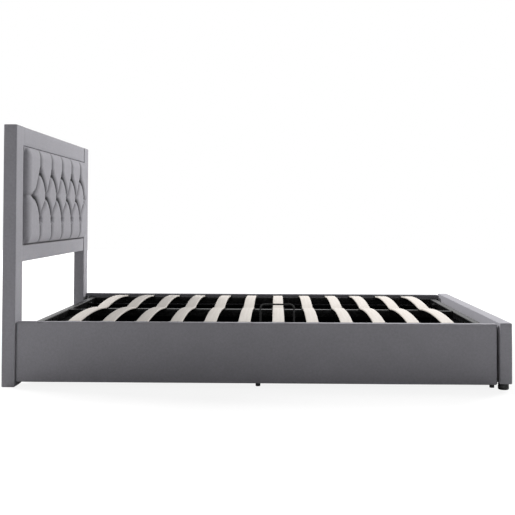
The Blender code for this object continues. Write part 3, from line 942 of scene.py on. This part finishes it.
    def cover(self) -> bpy.types.Object:
        """The pad's cover as a closed mesh with a flat back."""
        count_y = round((self.high.y - self.low.y) / self.spacing)
        count_z = round((self.high.z - self.low.z) / self.spacing)
        line_y = np.linspace(self.low.y, self.high.y, count_y + 1)
        line_z = np.linspace(self.low.z, self.high.z, count_z + 1)
        z, y = np.meshgrid(line_z, line_y, indexing="ij")
        stand, painted_shade = self.surface(y, z)
        points = np.stack([self.low.x + stand, y, z], axis=2)
        rows, columns = y.shape
        ids = np.arange(rows * columns).reshape(rows, columns)
        faces = grid_quads(ids)
        rim = list(ids[0, :-1]) + list(ids[:-1, -1]) + list(ids[-1, :0:-1]) + list(ids[:0:-1, 0])
        flat = points.reshape(-1, 3)
        back = flat[rim].copy()
        back[:, 0] = self.low.x
        start = len(flat)
        for index in range(len(rim)):
            after = (index + 1) % len(rim)
            faces.append((int(rim[after]), int(rim[index]), start + index, start + after))
        faces.append(tuple(range(start, start + len(rim)))[::-1])
        cover = add_piece(
            "tufted_pad_cover",
            (np.concatenate([flat, back]), faces),
            self.finish,
            Body.BASE,
            Slot.VELVET,
            replaces=("headboard_tufted_pad",),
            smooth_angle=75.0,
        )
        # The painted shade goes on the mesh for the velvet to darken its colour; the flat back gets
        # none.
        paint(cover, "fold", np.concatenate([painted_shade.ravel(), np.zeros(len(back))]))
        return cover

    def button(self, name: str, place: Pair) -> bpy.types.Object:
        """A cloth-covered domed button, pulled down between the folds."""
        radius = self.button_r
        profile = [(0.0, -0.004), (radius * 0.82, -0.004), (radius, -0.001)]
        for step in range(6):
            angle = math.pi / 2 * step / 6
            profile.append((radius * math.cos(angle), self.button_dome * math.sin(angle)))
        profile.append((0.0, self.button_dome))
        stand = self.crown - self.button_depth + self.button_proud
        centre = (self.low.x + stand, place[0], place[1])
        shape = turned_lathe(profile, 28, Vector((1, 0, 0)), centre)
        return add_piece(name, shape, self.finish, Body.BASE, Slot.VELVET, origin=centre)


@dataclass
class Upholstery:
    """The velvet-covered boards: headboard posts and rails, side rails and footboard."""

    finish: bpy.types.Material
    near_rail_gap: float = 0.0060
    far_rail_gap: float = 0.0020
    # Width of the painted shadow band at each side rail's foot end.
    raw_band: float = 0.0030

    def build(self) -> list[bpy.types.Object]:
        """Make every covered board."""
        boards = {
            "headboard_post_near": 0.0045,
            "headboard_post_far": 0.0045,
            "headboard_top_rail": 0.0040,
            "headboard_bottom_rail": 0.0040,
            "side_rail_near": 0.0065,
            "side_rail_far": 0.0065,
            "footboard": 0.0055,
        }
        pieces = []
        for count, (node, radius) in enumerate(boards.items()):
            low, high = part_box(node)
            is_rail = node.startswith("side_rail")
            if is_rail:
                high.x -= self.near_rail_gap if node.endswith("near") else self.far_rail_gap
            block = SoftBlock(tuple(low), tuple(high), radius, seed=3.1 * count)
            shape = block.shape()
            where = (Body.BASE, Slot.VELVET, ORIGIN, (node,))
            piece = add_piece(f"{node}_cover", shape, self.finish, *where)
            if is_rail:
                # Painted shade: a band at the rail's foot end is darkened, as the shadow in the gap
                # against the footboard.
                paint(piece, "fold", shape[0][:, 0] > high.x - self.raw_band)
            pieces.append(piece)
            LOG.info("covered %s", node)
        return pieces


# --- storage box -----------------------------------------------------------------------------


@dataclass
class BoxFittings:
    """The lining, feet, glides and bolts of the storage box."""

    finishes: Finishes
    lining_top: float = 0.206
    wave: float = 0.0022
    wall_gap: float = 0.0070
    floor_room: float = 0.001
    head_room: float = 0.006
    foot_room: float = 0.008
    cloth_t: float = 0.0008
    cloth_step: float = 0.009
    cloth_rows: int = 12
    corner_plate_t: float = 0.0025
    hinge_plate_t: float = 0.003
    bolt_share: float = 0.58
    corner_bolt_zs: tuple[float, ...] = (0.100, 0.160, 0.222)
    hinge_bolt_yzs: tuple[Pair, ...] = ((0.532, 0.182), (0.556, 0.118), (0.615, 0.196))

    def build(self) -> list[bpy.types.Object]:
        """Make every fitting."""
        pieces = self.linings() + self.feet() + self.glides() + self.bolts()
        LOG.info("box fittings: %d pieces", len(pieces))
        return pieces

    def linings(self) -> list[bpy.types.Object]:
        """Black cloth hung on the inner faces of both rails and of the footboard."""
        floor_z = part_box("floor_board_head")[1].z + self.floor_room
        start_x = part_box("head_end_board")[1].x + self.head_room
        end_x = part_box("footboard")[0].x - self.foot_room
        pieces = []
        for side in Side:
            low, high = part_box(f"side_rail_{side.label}")
            wall = (high.y if side is Side.NEAR else low.y) - side.value * self.wall_gap
            name = f"storage_lining_{side.label}"
            start, end = (start_x, wall), (end_x, wall)
            pieces.append(self.lining(name, start, end, floor_z, -side.value))
        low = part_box("hinge_bracket_foot")[0]
        side_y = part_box("side_rail_near")[1].y + self.wall_gap + 0.004
        start, end = (end_x, side_y), (end_x, low.y - 0.01)
        pieces.append(self.lining("storage_lining_foot", start, end, floor_z, -1))
        return pieces

    def lining(
        self, name: str, start: Pair, end: Pair, floor_z: float, inward: int
    ) -> bpy.types.Object:
        """One hung lining, with soft upright waves."""
        run = np.array(end) - np.array(start)
        length = float(np.linalg.norm(run))
        across = np.array((-run[1], run[0])) / length * (1 if run[0] > 0 else -1)
        columns, rows = round(length / self.cloth_step), self.cloth_rows
        along = np.linspace(0, 1, columns + 1)
        rise = np.linspace(0, 1, rows + 1)
        points = np.zeros((rows + 1, columns + 1, 3))
        for column, share in enumerate(along):
            for row, level in enumerate(rise):
                swing = noise.noise(Vector((share * length * 9.0, level * 0.7, inward * 5.0)))
                swing += 0.4 * math.sin(share * length * 47.0 + level)
                place = np.array(start) + run * share + across * (swing * self.wave)
                height = floor_z + (self.lining_top - floor_z) * level
                points[row, column] = (place[0], place[1], height)
        ids = np.arange((rows + 1) * (columns + 1)).reshape(rows + 1, columns + 1)
        shape = (points.reshape(-1, 3), grid_quads(ids))
        cloth = add_piece(name, shape, self.finishes.lining, Body.BASE, Slot.BLACK_BOARD)
        thick = cloth.modifiers.new("cloth_thickness", "SOLIDIFY")
        thick.thickness = self.cloth_t
        thick.offset = 0.0
        return cloth

    def feet(self) -> list[bpy.types.Object]:
        """The round moulded feet under the footboard."""
        pieces = []
        for side in Side:
            node = f"footboard_foot_{side.label}"
            low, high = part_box(node)
            radius, top = (high.x - low.x) / 2, high.z
            profile = [(0.0, 0.0005), (radius * 0.62, 0.0005), (radius * 0.66, 0.0)]
            profile += [(radius - 0.0045, 0.0), (radius - 0.0018, 0.0010), (radius - 0.0004, 0.0034)]
            profile += [(radius, 0.0060), (radius, top - 0.0062), (radius - 0.0008, top - 0.0054)]
            profile += [(radius - 0.0008, top - 0.0044), (radius, top - 0.0036), (radius, top)]
            profile.append((0.0, top))
            centre = ((low.x + high.x) / 2, (low.y + high.y) / 2, 0.0)
            shape = turned_lathe(profile, 64, UP, centre)
            where = (Body.BASE, Slot.BLACK_PLASTIC, centre, (node,))
            name = f"moulded_foot_{side.label}"
            pieces.append(add_piece(name, shape, self.finishes.plastic, *where))
        return pieces

    def glides(self) -> list[bpy.types.Object]:
        """Grey glides pressed over the studs under the bearers and the head end board."""
        rows = (
            ("middle", "floor_bearer_middle", (-0.65, 0, 0.65), 0.0099),
            ("foot", "floor_bearer_foot", (-0.65, 0, 0.65), 0.0099),
            ("head", "head_end_board", (-0.55, 0.55), 0.0079),
        )
        pieces = []
        for label, node, places, radius in rows:
            low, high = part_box(node)
            profile = [(0.0, 0.0), (radius - 0.0016, 0.0), (radius - 0.0004, 0.0006)]
            profile += [(radius, 0.0020), (radius, 0.0150), (radius + 0.0022, 0.0168)]
            profile += [(radius + 0.0022, 0.0202), (0.0, 0.0202)]
            for count, y in enumerate(places):
                centre = ((low.x + high.x) / 2, y, 0.0)
                shape = turned_lathe(profile, 40, UP, centre)
                where = (Body.BASE, Slot.BLACK_PLASTIC, centre)
                name = f"floor_glide_{label}_{count}"
                pieces.append(add_piece(name, shape, self.finishes.glide, *where))
        return pieces

    def bolts(self) -> list[bpy.types.Object]:
        """Flanged hexagon bolts on the corner brackets and the hinge brackets."""
        mesh = make_mesh("bracket_bolt", self.bolt_shape(), self.finishes.zinc, 28.0)
        pieces = []
        for count, (place, axis) in enumerate(self.bracket_seats() + self.hinge_seats()):
            matrix = Matrix.Translation(place) @ UP.rotation_difference(axis).to_matrix().to_4x4()
            name = f"bracket_bolt_{count:02d}"
            pieces.append(place_mesh(mesh, name, matrix, Body.BASE))
        return pieces

    @staticmethod
    def bolt_shape() -> Shape:
        """A flange with a six-sided head on it, standing on Z 0."""
        flange = [(0.0, 0.0), (0.0072, 0.0), (0.0072, 0.0008), (0.0052, 0.0016), (0.0, 0.0016)]
        head = [(0.0, 0.0012), (0.0050, 0.0012), (0.0050, 0.0046), (0.0042, 0.0052), (0.0, 0.0052)]
        return join_shapes([lathe(flange, 32), lathe(head, 6)])

    def bracket_seats(self) -> list[tuple[Vector, Vector]]:
        """Where bolts sit on both legs of each corner bracket, and which way they face."""
        seats = []
        for end in End:
            for side in Side:
                low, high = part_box(f"corner_bracket_{end.label}_{side.label}")
                wall_x = low.x if end is End.HEAD else high.x
                wall_y = high.y if side is Side.FAR else low.y
                along_x = wall_x + end.value * (high.x - low.x) * self.bolt_share
                along_y = wall_y - side.value * (high.x - low.x) * self.bolt_share
                face_x = wall_x + end.value * self.corner_plate_t
                face_y = wall_y - side.value * self.corner_plate_t
                for height in self.corner_bolt_zs:
                    seats.append((Vector((along_x, face_y, height)), Vector((0, -side.value, 0))))
                    seats.append((Vector((face_x, along_y, height)), Vector((end.value, 0, 0))))
        return seats

    def hinge_seats(self) -> list[tuple[Vector, Vector]]:
        """Where bolts sit on the hinge brackets."""
        seats = []
        for end in End:
            low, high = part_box(f"hinge_bracket_{end.label}")
            face = (low.x if end is End.HEAD else high.x) + end.value * self.hinge_plate_t
            for y, z in self.hinge_bolt_yzs:
                seats.append((Vector((face, y, z)), Vector((end.value, 0, 0))))
        return seats


# --- slats -----------------------------------------------------------------------------------


@dataclass
class SlatField:
    """The bowed slats, and the sockets that hold their outer ends."""

    finishes: Finishes
    thickness: float = 0.008
    edge_r: float = 0.0026
    smooth_angle: float = 35.0
    steps: int = 26
    rows: int = 12
    socket_r: float = 0.0018
    socket_wall: float = 0.0030
    socket_out: float = 0.002
    socket_in: float = 0.016
    socket_top: float = 0.0128

    def build(self) -> list[bpy.types.Object]:
        """Make every slat and socket."""
        pieces = []
        for row in range(1, self.rows + 1):
            for side in Side:
                pieces.append(self.slat(row, side))
                pieces.append(self.socket(row, side))
        LOG.info("slat field: %d pieces", len(pieces))
        return pieces

    def section(self, width: float) -> np.ndarray:
        """(across, up) points of a slat's section with rounded edges."""
        half_w, half_t, radius = width / 2, self.thickness / 2, self.edge_r
        points = []
        for quarter, (sx, sy) in enumerate(((1, 1), (-1, 1), (-1, -1), (1, -1))):
            for step in range(4):
                angle = math.pi / 2 * (quarter + step / 3)
                x = sx * (half_w - radius) + radius * math.cos(angle)
                y = sy * (half_t - radius) + radius * math.sin(angle)
                points.append((x, y))
            if quarter in (0, 2):
                inner = [share * sx * (half_w - radius) for share in (0.5, 0.0, -0.5)]
                points += [(x, sy * half_t) for x in inner]
        return np.array(points)

    def slat(self, row: int, side: Side) -> bpy.types.Object:
        """One bowed slat over its CAD node."""
        node = f"slat_{row:02d}_{side.label}"
        low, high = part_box(node)
        bow = high.z - low.z - self.thickness
        mid_x, mid_y = (low.x + high.x) / 2, (low.y + high.y) / 2
        half = (high.y - low.y) / 2
        along = np.linspace(-1, 1, self.steps + 1)
        height = low.z + self.thickness / 2 + bow * (1 - along**2)
        path = np.stack([np.full_like(along, mid_x), mid_y + half * along, height], axis=1)
        section = self.section(high.x - low.x)
        shape = sweep(path, section)
        where = (Body.LIFT, Slot.BIRCH, (mid_x, mid_y, low.z), (node,), self.smooth_angle)
        name = f"bowed_slat_{row:02d}_{side.label}"
        slat = add_piece(name, shape, self.finishes.birch, *where)
        half_t = self.thickness / 2
        layer = np.tile(section[:, 1] / half_t, len(path))
        edge = np.tile((np.abs(section[:, 1]) < half_t * 0.72).astype(float), len(path))
        paint(slat, "ply_layer", layer)
        paint(slat, "ply_edge", edge)
        return slat

    def socket(self, row: int, side: Side) -> bpy.types.Object:
        """The moulded socket on a slat's outer end."""
        low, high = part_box(f"slat_{row:02d}_{side.label}")
        outer = low.y if side is Side.NEAR else high.y
        ys = sorted((outer + side.value * self.socket_out, outer - side.value * self.socket_in))
        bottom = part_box(f"slat_seat_strip_{side.label}")[0].z + self.socket_r
        block_low = (low.x - self.socket_wall, ys[0], bottom)
        block_high = (high.x + self.socket_wall, ys[1], low.z + self.socket_top)
        block = SoftBlock(block_low, block_high, self.socket_r, swell=0.0, ripple=0.0, steps=2)
        where = (Body.LIFT, Slot.RUBBER, tuple((np.array(block_low) + np.array(block_high)) / 2))
        name = f"slat_socket_{row:02d}_{side.label}"
        return add_piece(name, block.shape(), self.finishes.rubber, *where)


# --- lift frame and struts -------------------------------------------------------------------


@dataclass
class LiftFrameDetails:
    """Tube plugs, weld beads and the bent mattress stop of the lift frame."""

    finishes: Finishes
    plug_t: float = 0.0022
    plug_r: float = 0.0010
    plug_inset: float = 0.0006
    plug_proud: float = 0.0004
    bead_r: float = 0.0017
    bead_steps: int = 40
    bead_inset: float = 0.04
    bead_sink: float = 0.0003
    bead_end: float = 0.45
    bead_ripple: float = 0.22
    bead_spread: Pair = (0.92, 1.06)
    rod_r: float = 0.0035
    bend_r: float = 0.018

    def build(self) -> list[bpy.types.Object]:
        """Make every detail."""
        pieces = self.plugs() + self.welds() + [self.mattress_stop()]
        LOG.info("lift frame details: %d pieces", len(pieces))
        return pieces

    def plugs(self) -> list[bpy.types.Object]:
        """Moulded plugs in the open ends of the side tubes."""
        pieces = []
        for side in Side:
            low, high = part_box("lift_frame_side_tube_near")
            if side is Side.FAR:
                far_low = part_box("lift_frame_side_tube_far")[0]
                high = Vector((high.x, far_low.y + high.y - low.y, high.z))
                low = far_low
            for end in End:
                face = low.x if end is End.HEAD else high.x
                xs = sorted((face - end.value * self.plug_t, face + end.value * self.plug_proud))
                first = (xs[0], low.y + self.plug_inset, low.z + self.plug_inset)
                last = (xs[1], high.y - self.plug_inset, high.z - self.plug_inset)
                plain = {"swell": 0.0, "ripple": 0.0, "steps": 2, "spacing": 0.03}
                block = SoftBlock(first, last, self.plug_r, **plain)
                shape = block.shape()
                where = (Body.LIFT, Slot.BLACK_PLASTIC, tuple(shape[0].mean(axis=0)))
                name = f"tube_plug_{end.label}_{side.label}"
                pieces.append(add_piece(name, shape, self.finishes.plastic, *where))
        return pieces

    def welds(self) -> list[bpy.types.Object]:
        """Rippled beads over the top and bottom of each butt joint."""
        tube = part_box("lift_frame_side_tube_near")
        near_edge = tube[1].y
        far_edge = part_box("lift_frame_side_tube_far")[0].y
        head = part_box("lift_frame_cross_tube_head")
        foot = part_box("lift_frame_cross_tube_foot")
        width = tube[1].z - tube[0].z
        head_x = (head[0].x, head[0].x + width)
        foot_x = (foot[1].x - width, foot[1].x)
        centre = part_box("lift_frame_centre_tube")
        centre_y = (centre[0].y, centre[1].y)
        spots = []
        for label, xs in (("head", head_x), ("foot", foot_x)):
            for side, y in (("near", near_edge), ("far", far_edge)):
                spots.append((f"{label}_{side}", (xs[0], y), (xs[1], y)))
        spots.append(("centre_head", (head_x[1], centre_y[0]), (head_x[1], centre_y[1])))
        spots.append(("centre_foot", (foot_x[0], centre_y[0]), (foot_x[0], centre_y[1])))
        pieces = []
        rng = random.Random(41)
        for label, start, end in spots:
            top, under = tube[1].z - self.bead_sink, tube[0].z + self.bead_sink
            for level, z in (("top", top), ("under", under)):
                share = np.linspace(self.bead_inset, 1 - self.bead_inset, self.bead_steps)[:, None]
                flat = np.array(start) * (1 - share) + np.array(end) * share
                path = np.concatenate([flat, np.full((self.bead_steps, 1), z)], axis=1)
                ripple = 1 + self.bead_ripple * np.abs(np.sin(np.arange(self.bead_steps) * 0.9))
                ripple *= np.array([rng.uniform(*self.bead_spread) for _ in range(self.bead_steps)])
                ripple[[0, -1]] *= self.bead_end
                bead = sweep(path, circle(self.bead_r, 12), ripple)
                name, steel = f"weld_{label}_{level}", self.finishes.frame_steel
                pieces.append(add_piece(name, bead, steel, Body.LIFT, Slot.FRAME_STEEL))
        return pieces

    def mattress_stop(self) -> bpy.types.Object:
        """The bent rod on the opening side, with a small welded foot at each leg."""
        low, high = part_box("mattress_stop")
        y = (low.y + high.y) / 2
        left, right = low.x + self.rod_r, high.x - self.rod_r
        top, base = high.z - self.rod_r, low.z
        path = [(left, y, base), (left, y, base + 0.02), (left, y, base + 0.04)]
        for sign, x in ((-1, left), (1, right)):
            turns = range(9) if sign < 0 else range(8, -1, -1)
            for step in turns:
                angle = math.pi / 2 * step / 8
                across = x - sign * self.bend_r * (1 - math.cos(angle))
                path.append((across, y, top - self.bend_r * (1 - math.sin(angle))))
            if sign < 0:
                middle = np.linspace(left + self.bend_r, right - self.bend_r, 8)[1:-1]
                path += [(x_mid, y, top) for x_mid in middle]
        path += [(right, y, base + 0.04), (right, y, base + 0.02), (right, y, base)]
        shapes = [sweep(np.array(path), circle(self.rod_r, 24))]
        for x in (left, right):
            profile = [(0.0, 0.0), (0.0075, 0.0), (0.0080, 0.0008), (0.0075, 0.0018)]
            profile += [(0.0052, 0.0030), (0.0, 0.0030)]
            shapes.append(turned_lathe(profile, 32, UP, (x, y, base)))
        where = (Body.LIFT, Slot.FRAME_STEEL, ORIGIN, ("mattress_stop",))
        return add_piece("mattress_stop_rod", join_shapes(shapes), self.finishes.coated, *where)


@dataclass
class GasStrut:
    """One gas strut: a painted cylinder with a rolled mouth and seal, and a polished rod."""

    finishes: Finishes
    end: End
    tube_r: float = 0.009
    rod_r: float = 0.004
    eye_r: float = 0.008
    eye_t: float = 0.010
    hole_r: float = 0.0043
    body_start: float = 0.0105
    mouth_back: float = 0.022
    rod_short: float = 0.017

    def __post_init__(self) -> None:
        """Read both pivots from the joints."""
        places = {joint["name"]: Vector(joint["pos_m"]) for joint in frame["joints"]}
        self.low = places[f"strut_cylinder_{self.end.label}_pivot"]
        self.high = places[f"strut_rod_{self.end.label}_pivot"]
        self.run = self.high - self.low

    def build(self) -> list[bpy.types.Object]:
        """Make the cylinder and the rod."""
        label = self.end.label
        axis = self.run.normalized()
        mouth = self.run.length - self.mouth_back
        tube = turned_lathe(self.tube_profile(mouth), 48, axis, self.low)
        cylinder = join_shapes([tube, self.eye(self.low)])
        rod = turned_lathe(self.rod_profile(), 40, -axis, self.high)
        black, chrome = self.finishes.strut_black, self.finishes.chrome
        cylinder_body, rod_body = Body[f"CYLINDER_{self.end.name}"], Body[f"ROD_{self.end.name}"]
        kinds = (
            (f"strut_tube_{label}", cylinder, black, Slot.STRUT_BLACK, f"strut_cylinder_{label}"),
            (f"strut_rod_polished_{label}", rod, chrome, Slot.CHROME, f"strut_rod_{label}"),
            (f"strut_rod_eye_{label}", self.eye(self.high), black, Slot.CHROME, ""),
        )
        pieces = []
        for name, shape, finish, slot, node in kinds:
            on_rod = slot is Slot.CHROME
            piece = add_piece(
                name,
                shape,
                finish,
                rod_body if on_rod else cylinder_body,
                slot,
                origin=tuple(self.high if on_rod else self.low),
                replaces=(node,) if node else (),
                smooth_angle=30.0,
            )
            pieces.append(piece)
        LOG.info("gas strut at the %s", label)
        return pieces

    def rod_profile(self) -> list[Pair]:
        """The rod's outline, from the collar at its eye to its end inside the cylinder."""
        length, collar_r = self.run.length - self.rod_short, self.rod_r * 1.35
        profile = [(0.0, 0.006), (collar_r, 0.006), (collar_r, 0.012)]
        profile += [(self.rod_r, 0.0128), (self.rod_r, length - 0.0006), (0.0, length)]
        return profile

    def tube_profile(self, mouth: float) -> list[Pair]:
        """The cylinder's outline, from its neck at the eye up to the seal round the rod."""
        radius, bore = self.tube_r, self.rod_r + 0.0003
        profile = [(0.0, 0.0055), (0.0045, 0.0055), (0.0045, self.body_start)]
        profile += [(radius - 0.0018, self.body_start), (radius, self.body_start + 0.0018)]
        profile += [(radius, mouth - 0.012), (radius - 0.0010, mouth - 0.0105)]
        profile += [(radius - 0.0010, mouth - 0.0090), (radius, mouth - 0.0075)]
        profile += [(radius, mouth - 0.0022), (radius - 0.0020, mouth), (bore + 0.0016, mouth)]
        profile += [(bore + 0.0012, mouth - 0.0006), (bore, mouth - 0.0006)]
        profile += [(bore, 0.016), (0.0, 0.014)]
        return profile

    def eye(self, centre: Vector) -> Shape:
        """A drilled eye round a pivot pin along X."""
        half, chamfer = self.eye_t / 2, 0.0008
        outline = [(self.hole_r, -half), (self.eye_r - chamfer, -half), (self.eye_r, chamfer - half)]
        outline += [(self.eye_r, half - chamfer), (self.eye_r - chamfer, half), (self.hole_r, half)]
        outline.append((self.hole_r, -half))
        return turned_lathe(outline, 40, Vector((1, 0, 0)), centre)


# --- carried-over nodes ----------------------------------------------------------------------


@dataclass
class CarriedNodes:
    """The CAD nodes whose shape is kept, with their finishes."""

    finishes: Finishes
    ease: float = 0.0007

    def build(self) -> None:
        """Dress every node that stays in view."""
        made = self.finishes
        groups = {
            "headboard_back_board": made.velvet,
            "head_end_board": made.board,
            "floor_b": made.board,
            "corner_bracket": made.zinc,
            "hinge_bracket": made.zinc,
            "lift_frame": made.frame_steel,
            "slat_seat_strip": made.rubber,
        }
        for name, node in frame["nodes"].items():
            if node.hide_render:
                continue
            finish = next(mat for start, mat in groups.items() if name.startswith(start))
            for slot in node.material_slots:
                slot.material = finish
            if name.startswith(("head", "floor", "corner")):
                self.ease_edges(node)
            LOG.info("finished node %s", name)

    def ease_edges(self, node: bpy.types.Object) -> None:
        """Take the knife edge off a board or bracket."""
        bevel = node.modifiers.new("eased_edges", "BEVEL")
        bevel.width = self.ease
        bevel.segments = 2
        bevel.limit_method = "ANGLE"
        bevel.angle_limit = math.radians(50)


# --- studio ----------------------------------------------------------------------------------


@dataclass(frozen=True)
class Softbox:
    """A square area light."""

    name: str
    place: Point
    target: Point
    size: float
    power: float

    def build(self) -> bpy.types.Object:
        """Make the light and aim it."""
        data = bpy.data.lights.new(self.name, "AREA")
        data.shape = "SQUARE"
        data.size = self.size
        data.energy = self.power
        light = bpy.data.objects.new(self.name, data)
        light.location = self.place
        aim = Vector(self.target) - Vector(self.place)
        light.rotation_euler = aim.to_track_quat("-Z", "Y").to_euler()
        bpy.context.scene.collection.objects.link(light)
        return light


@dataclass
class Studio:
    """The pale floor, the softboxes, the world and the camera."""

    finishes: Finishes
    camera_place: Point = (0.0815, -4.505, 0.700)
    yaw: float = -1.12
    pitch: float = 1.54
    roll: float = 0.19
    lens: float = 65.17
    shift_x: float = -0.001
    shift_y: float = -0.130
    ambient: float = 0.195
    mirrored: float = 0.8
    floor_half: float = 14.0

    def build(self) -> None:
        """Set up everything round the bed."""
        self.floor()
        self.world()
        self.camera()
        lights = (
            Softbox("foot_softbox", (8.3, 8.6, 7.1), (-0.8, 0.0, 0.5), 3.8, 2560.0),
            Softbox("head_softbox", (-7.0, 2.6, 5.9), (0.8, 0.0, 0.2), 3.6, 1480.0),
            Softbox("front_fill", (0.3, -6.5, 2.2), (0.2, -0.7, 0.3), 3.6, 34.0),
        )
        for light in lights:
            light.build()
        bpy.context.scene.view_settings.view_transform = "Standard"

    def floor(self) -> None:
        """A large floor that isn't part of the bed."""
        half = self.floor_half
        mesh = bpy.data.meshes.new("studio_floor")
        corners = [(-half, -half, 0), (half, -half, 0), (half, half, 0), (-half, half, 0)]
        mesh.from_pydata(corners, [], [(0, 1, 2, 3)])
        mesh.materials.append(self.finishes.floor)
        floor = bpy.data.objects.new("studio_floor", mesh)
        bpy.context.scene.collection.objects.link(floor)

    def world(self) -> None:
        """Soft white surroundings, seen brighter than they light the bed."""
        world = bpy.data.worlds.new("studio_world")
        world.use_nodes = True
        bpy.context.scene.world = world
        shade = Shade(world.node_tree)
        world.node_tree.nodes.clear()
        path = shade.add("ShaderNodeLightPath")
        seen = shade.add("ShaderNodeBackground", {"Color": grey(1.0), "Strength": 1.0})
        soft = shade.add("ShaderNodeBackground", {"Color": grey(1.0), "Strength": self.ambient})
        mirrored = shade.math("MULTIPLY", path.outputs["Is Glossy Ray"], self.mirrored)
        bright = shade.math("MAXIMUM", path.outputs["Is Camera Ray"], mirrored)
        mixed = shade.add("ShaderNodeMixShader", {0: bright})
        shade.link(soft.outputs[0], mixed.inputs[1])
        shade.link(seen.outputs[0], mixed.inputs[2])
        shade.add("ShaderNodeOutputWorld", {"Surface": mixed.outputs[0]})

    def camera(self) -> None:
        """A level long-lens camera on the opening side."""
        yaw, pitch, roll = (math.radians(angle) for angle in (self.yaw, self.pitch, self.roll))
        level = math.cos(pitch)
        forward = Vector((math.sin(yaw) * level, math.cos(yaw) * level, math.sin(pitch)))
        right = Vector((math.cos(yaw), -math.sin(yaw), 0.0))
        up = right.cross(forward)
        rolled = right * math.cos(roll) + up * math.sin(roll)
        upright = up * math.cos(roll) - right * math.sin(roll)
        data = bpy.data.cameras.new("camera")
        data.lens = self.lens
        data.shift_x = self.shift_x
        data.shift_y = self.shift_y
        camera = bpy.data.objects.new("camera", data)
        axes = Matrix((rolled, upright, -forward)).transposed()
        camera.matrix_world = Matrix.Translation(self.camera_place) @ axes.to_4x4()
        bpy.context.scene.collection.objects.link(camera)
        bpy.context.scene.camera = camera


def main() -> None:
    """Build the bed's looks, sub-assembly by sub-assembly."""
    logging.basicConfig(level=logging.INFO, format="%(name)s: %(message)s")
    finishes = Finishes()
    Studio(finishes).build()
    Upholstery(finishes.velvet).build()
    TuftedPad(finishes.velvet).build()
    BoxFittings(finishes).build()
    SlatField(finishes).build()
    LiftFrameDetails(finishes).build()
    for end in End:
        GasStrut(finishes, end).build()
    CarriedNodes(finishes).build()


if __name__ == "__main__":
    main()
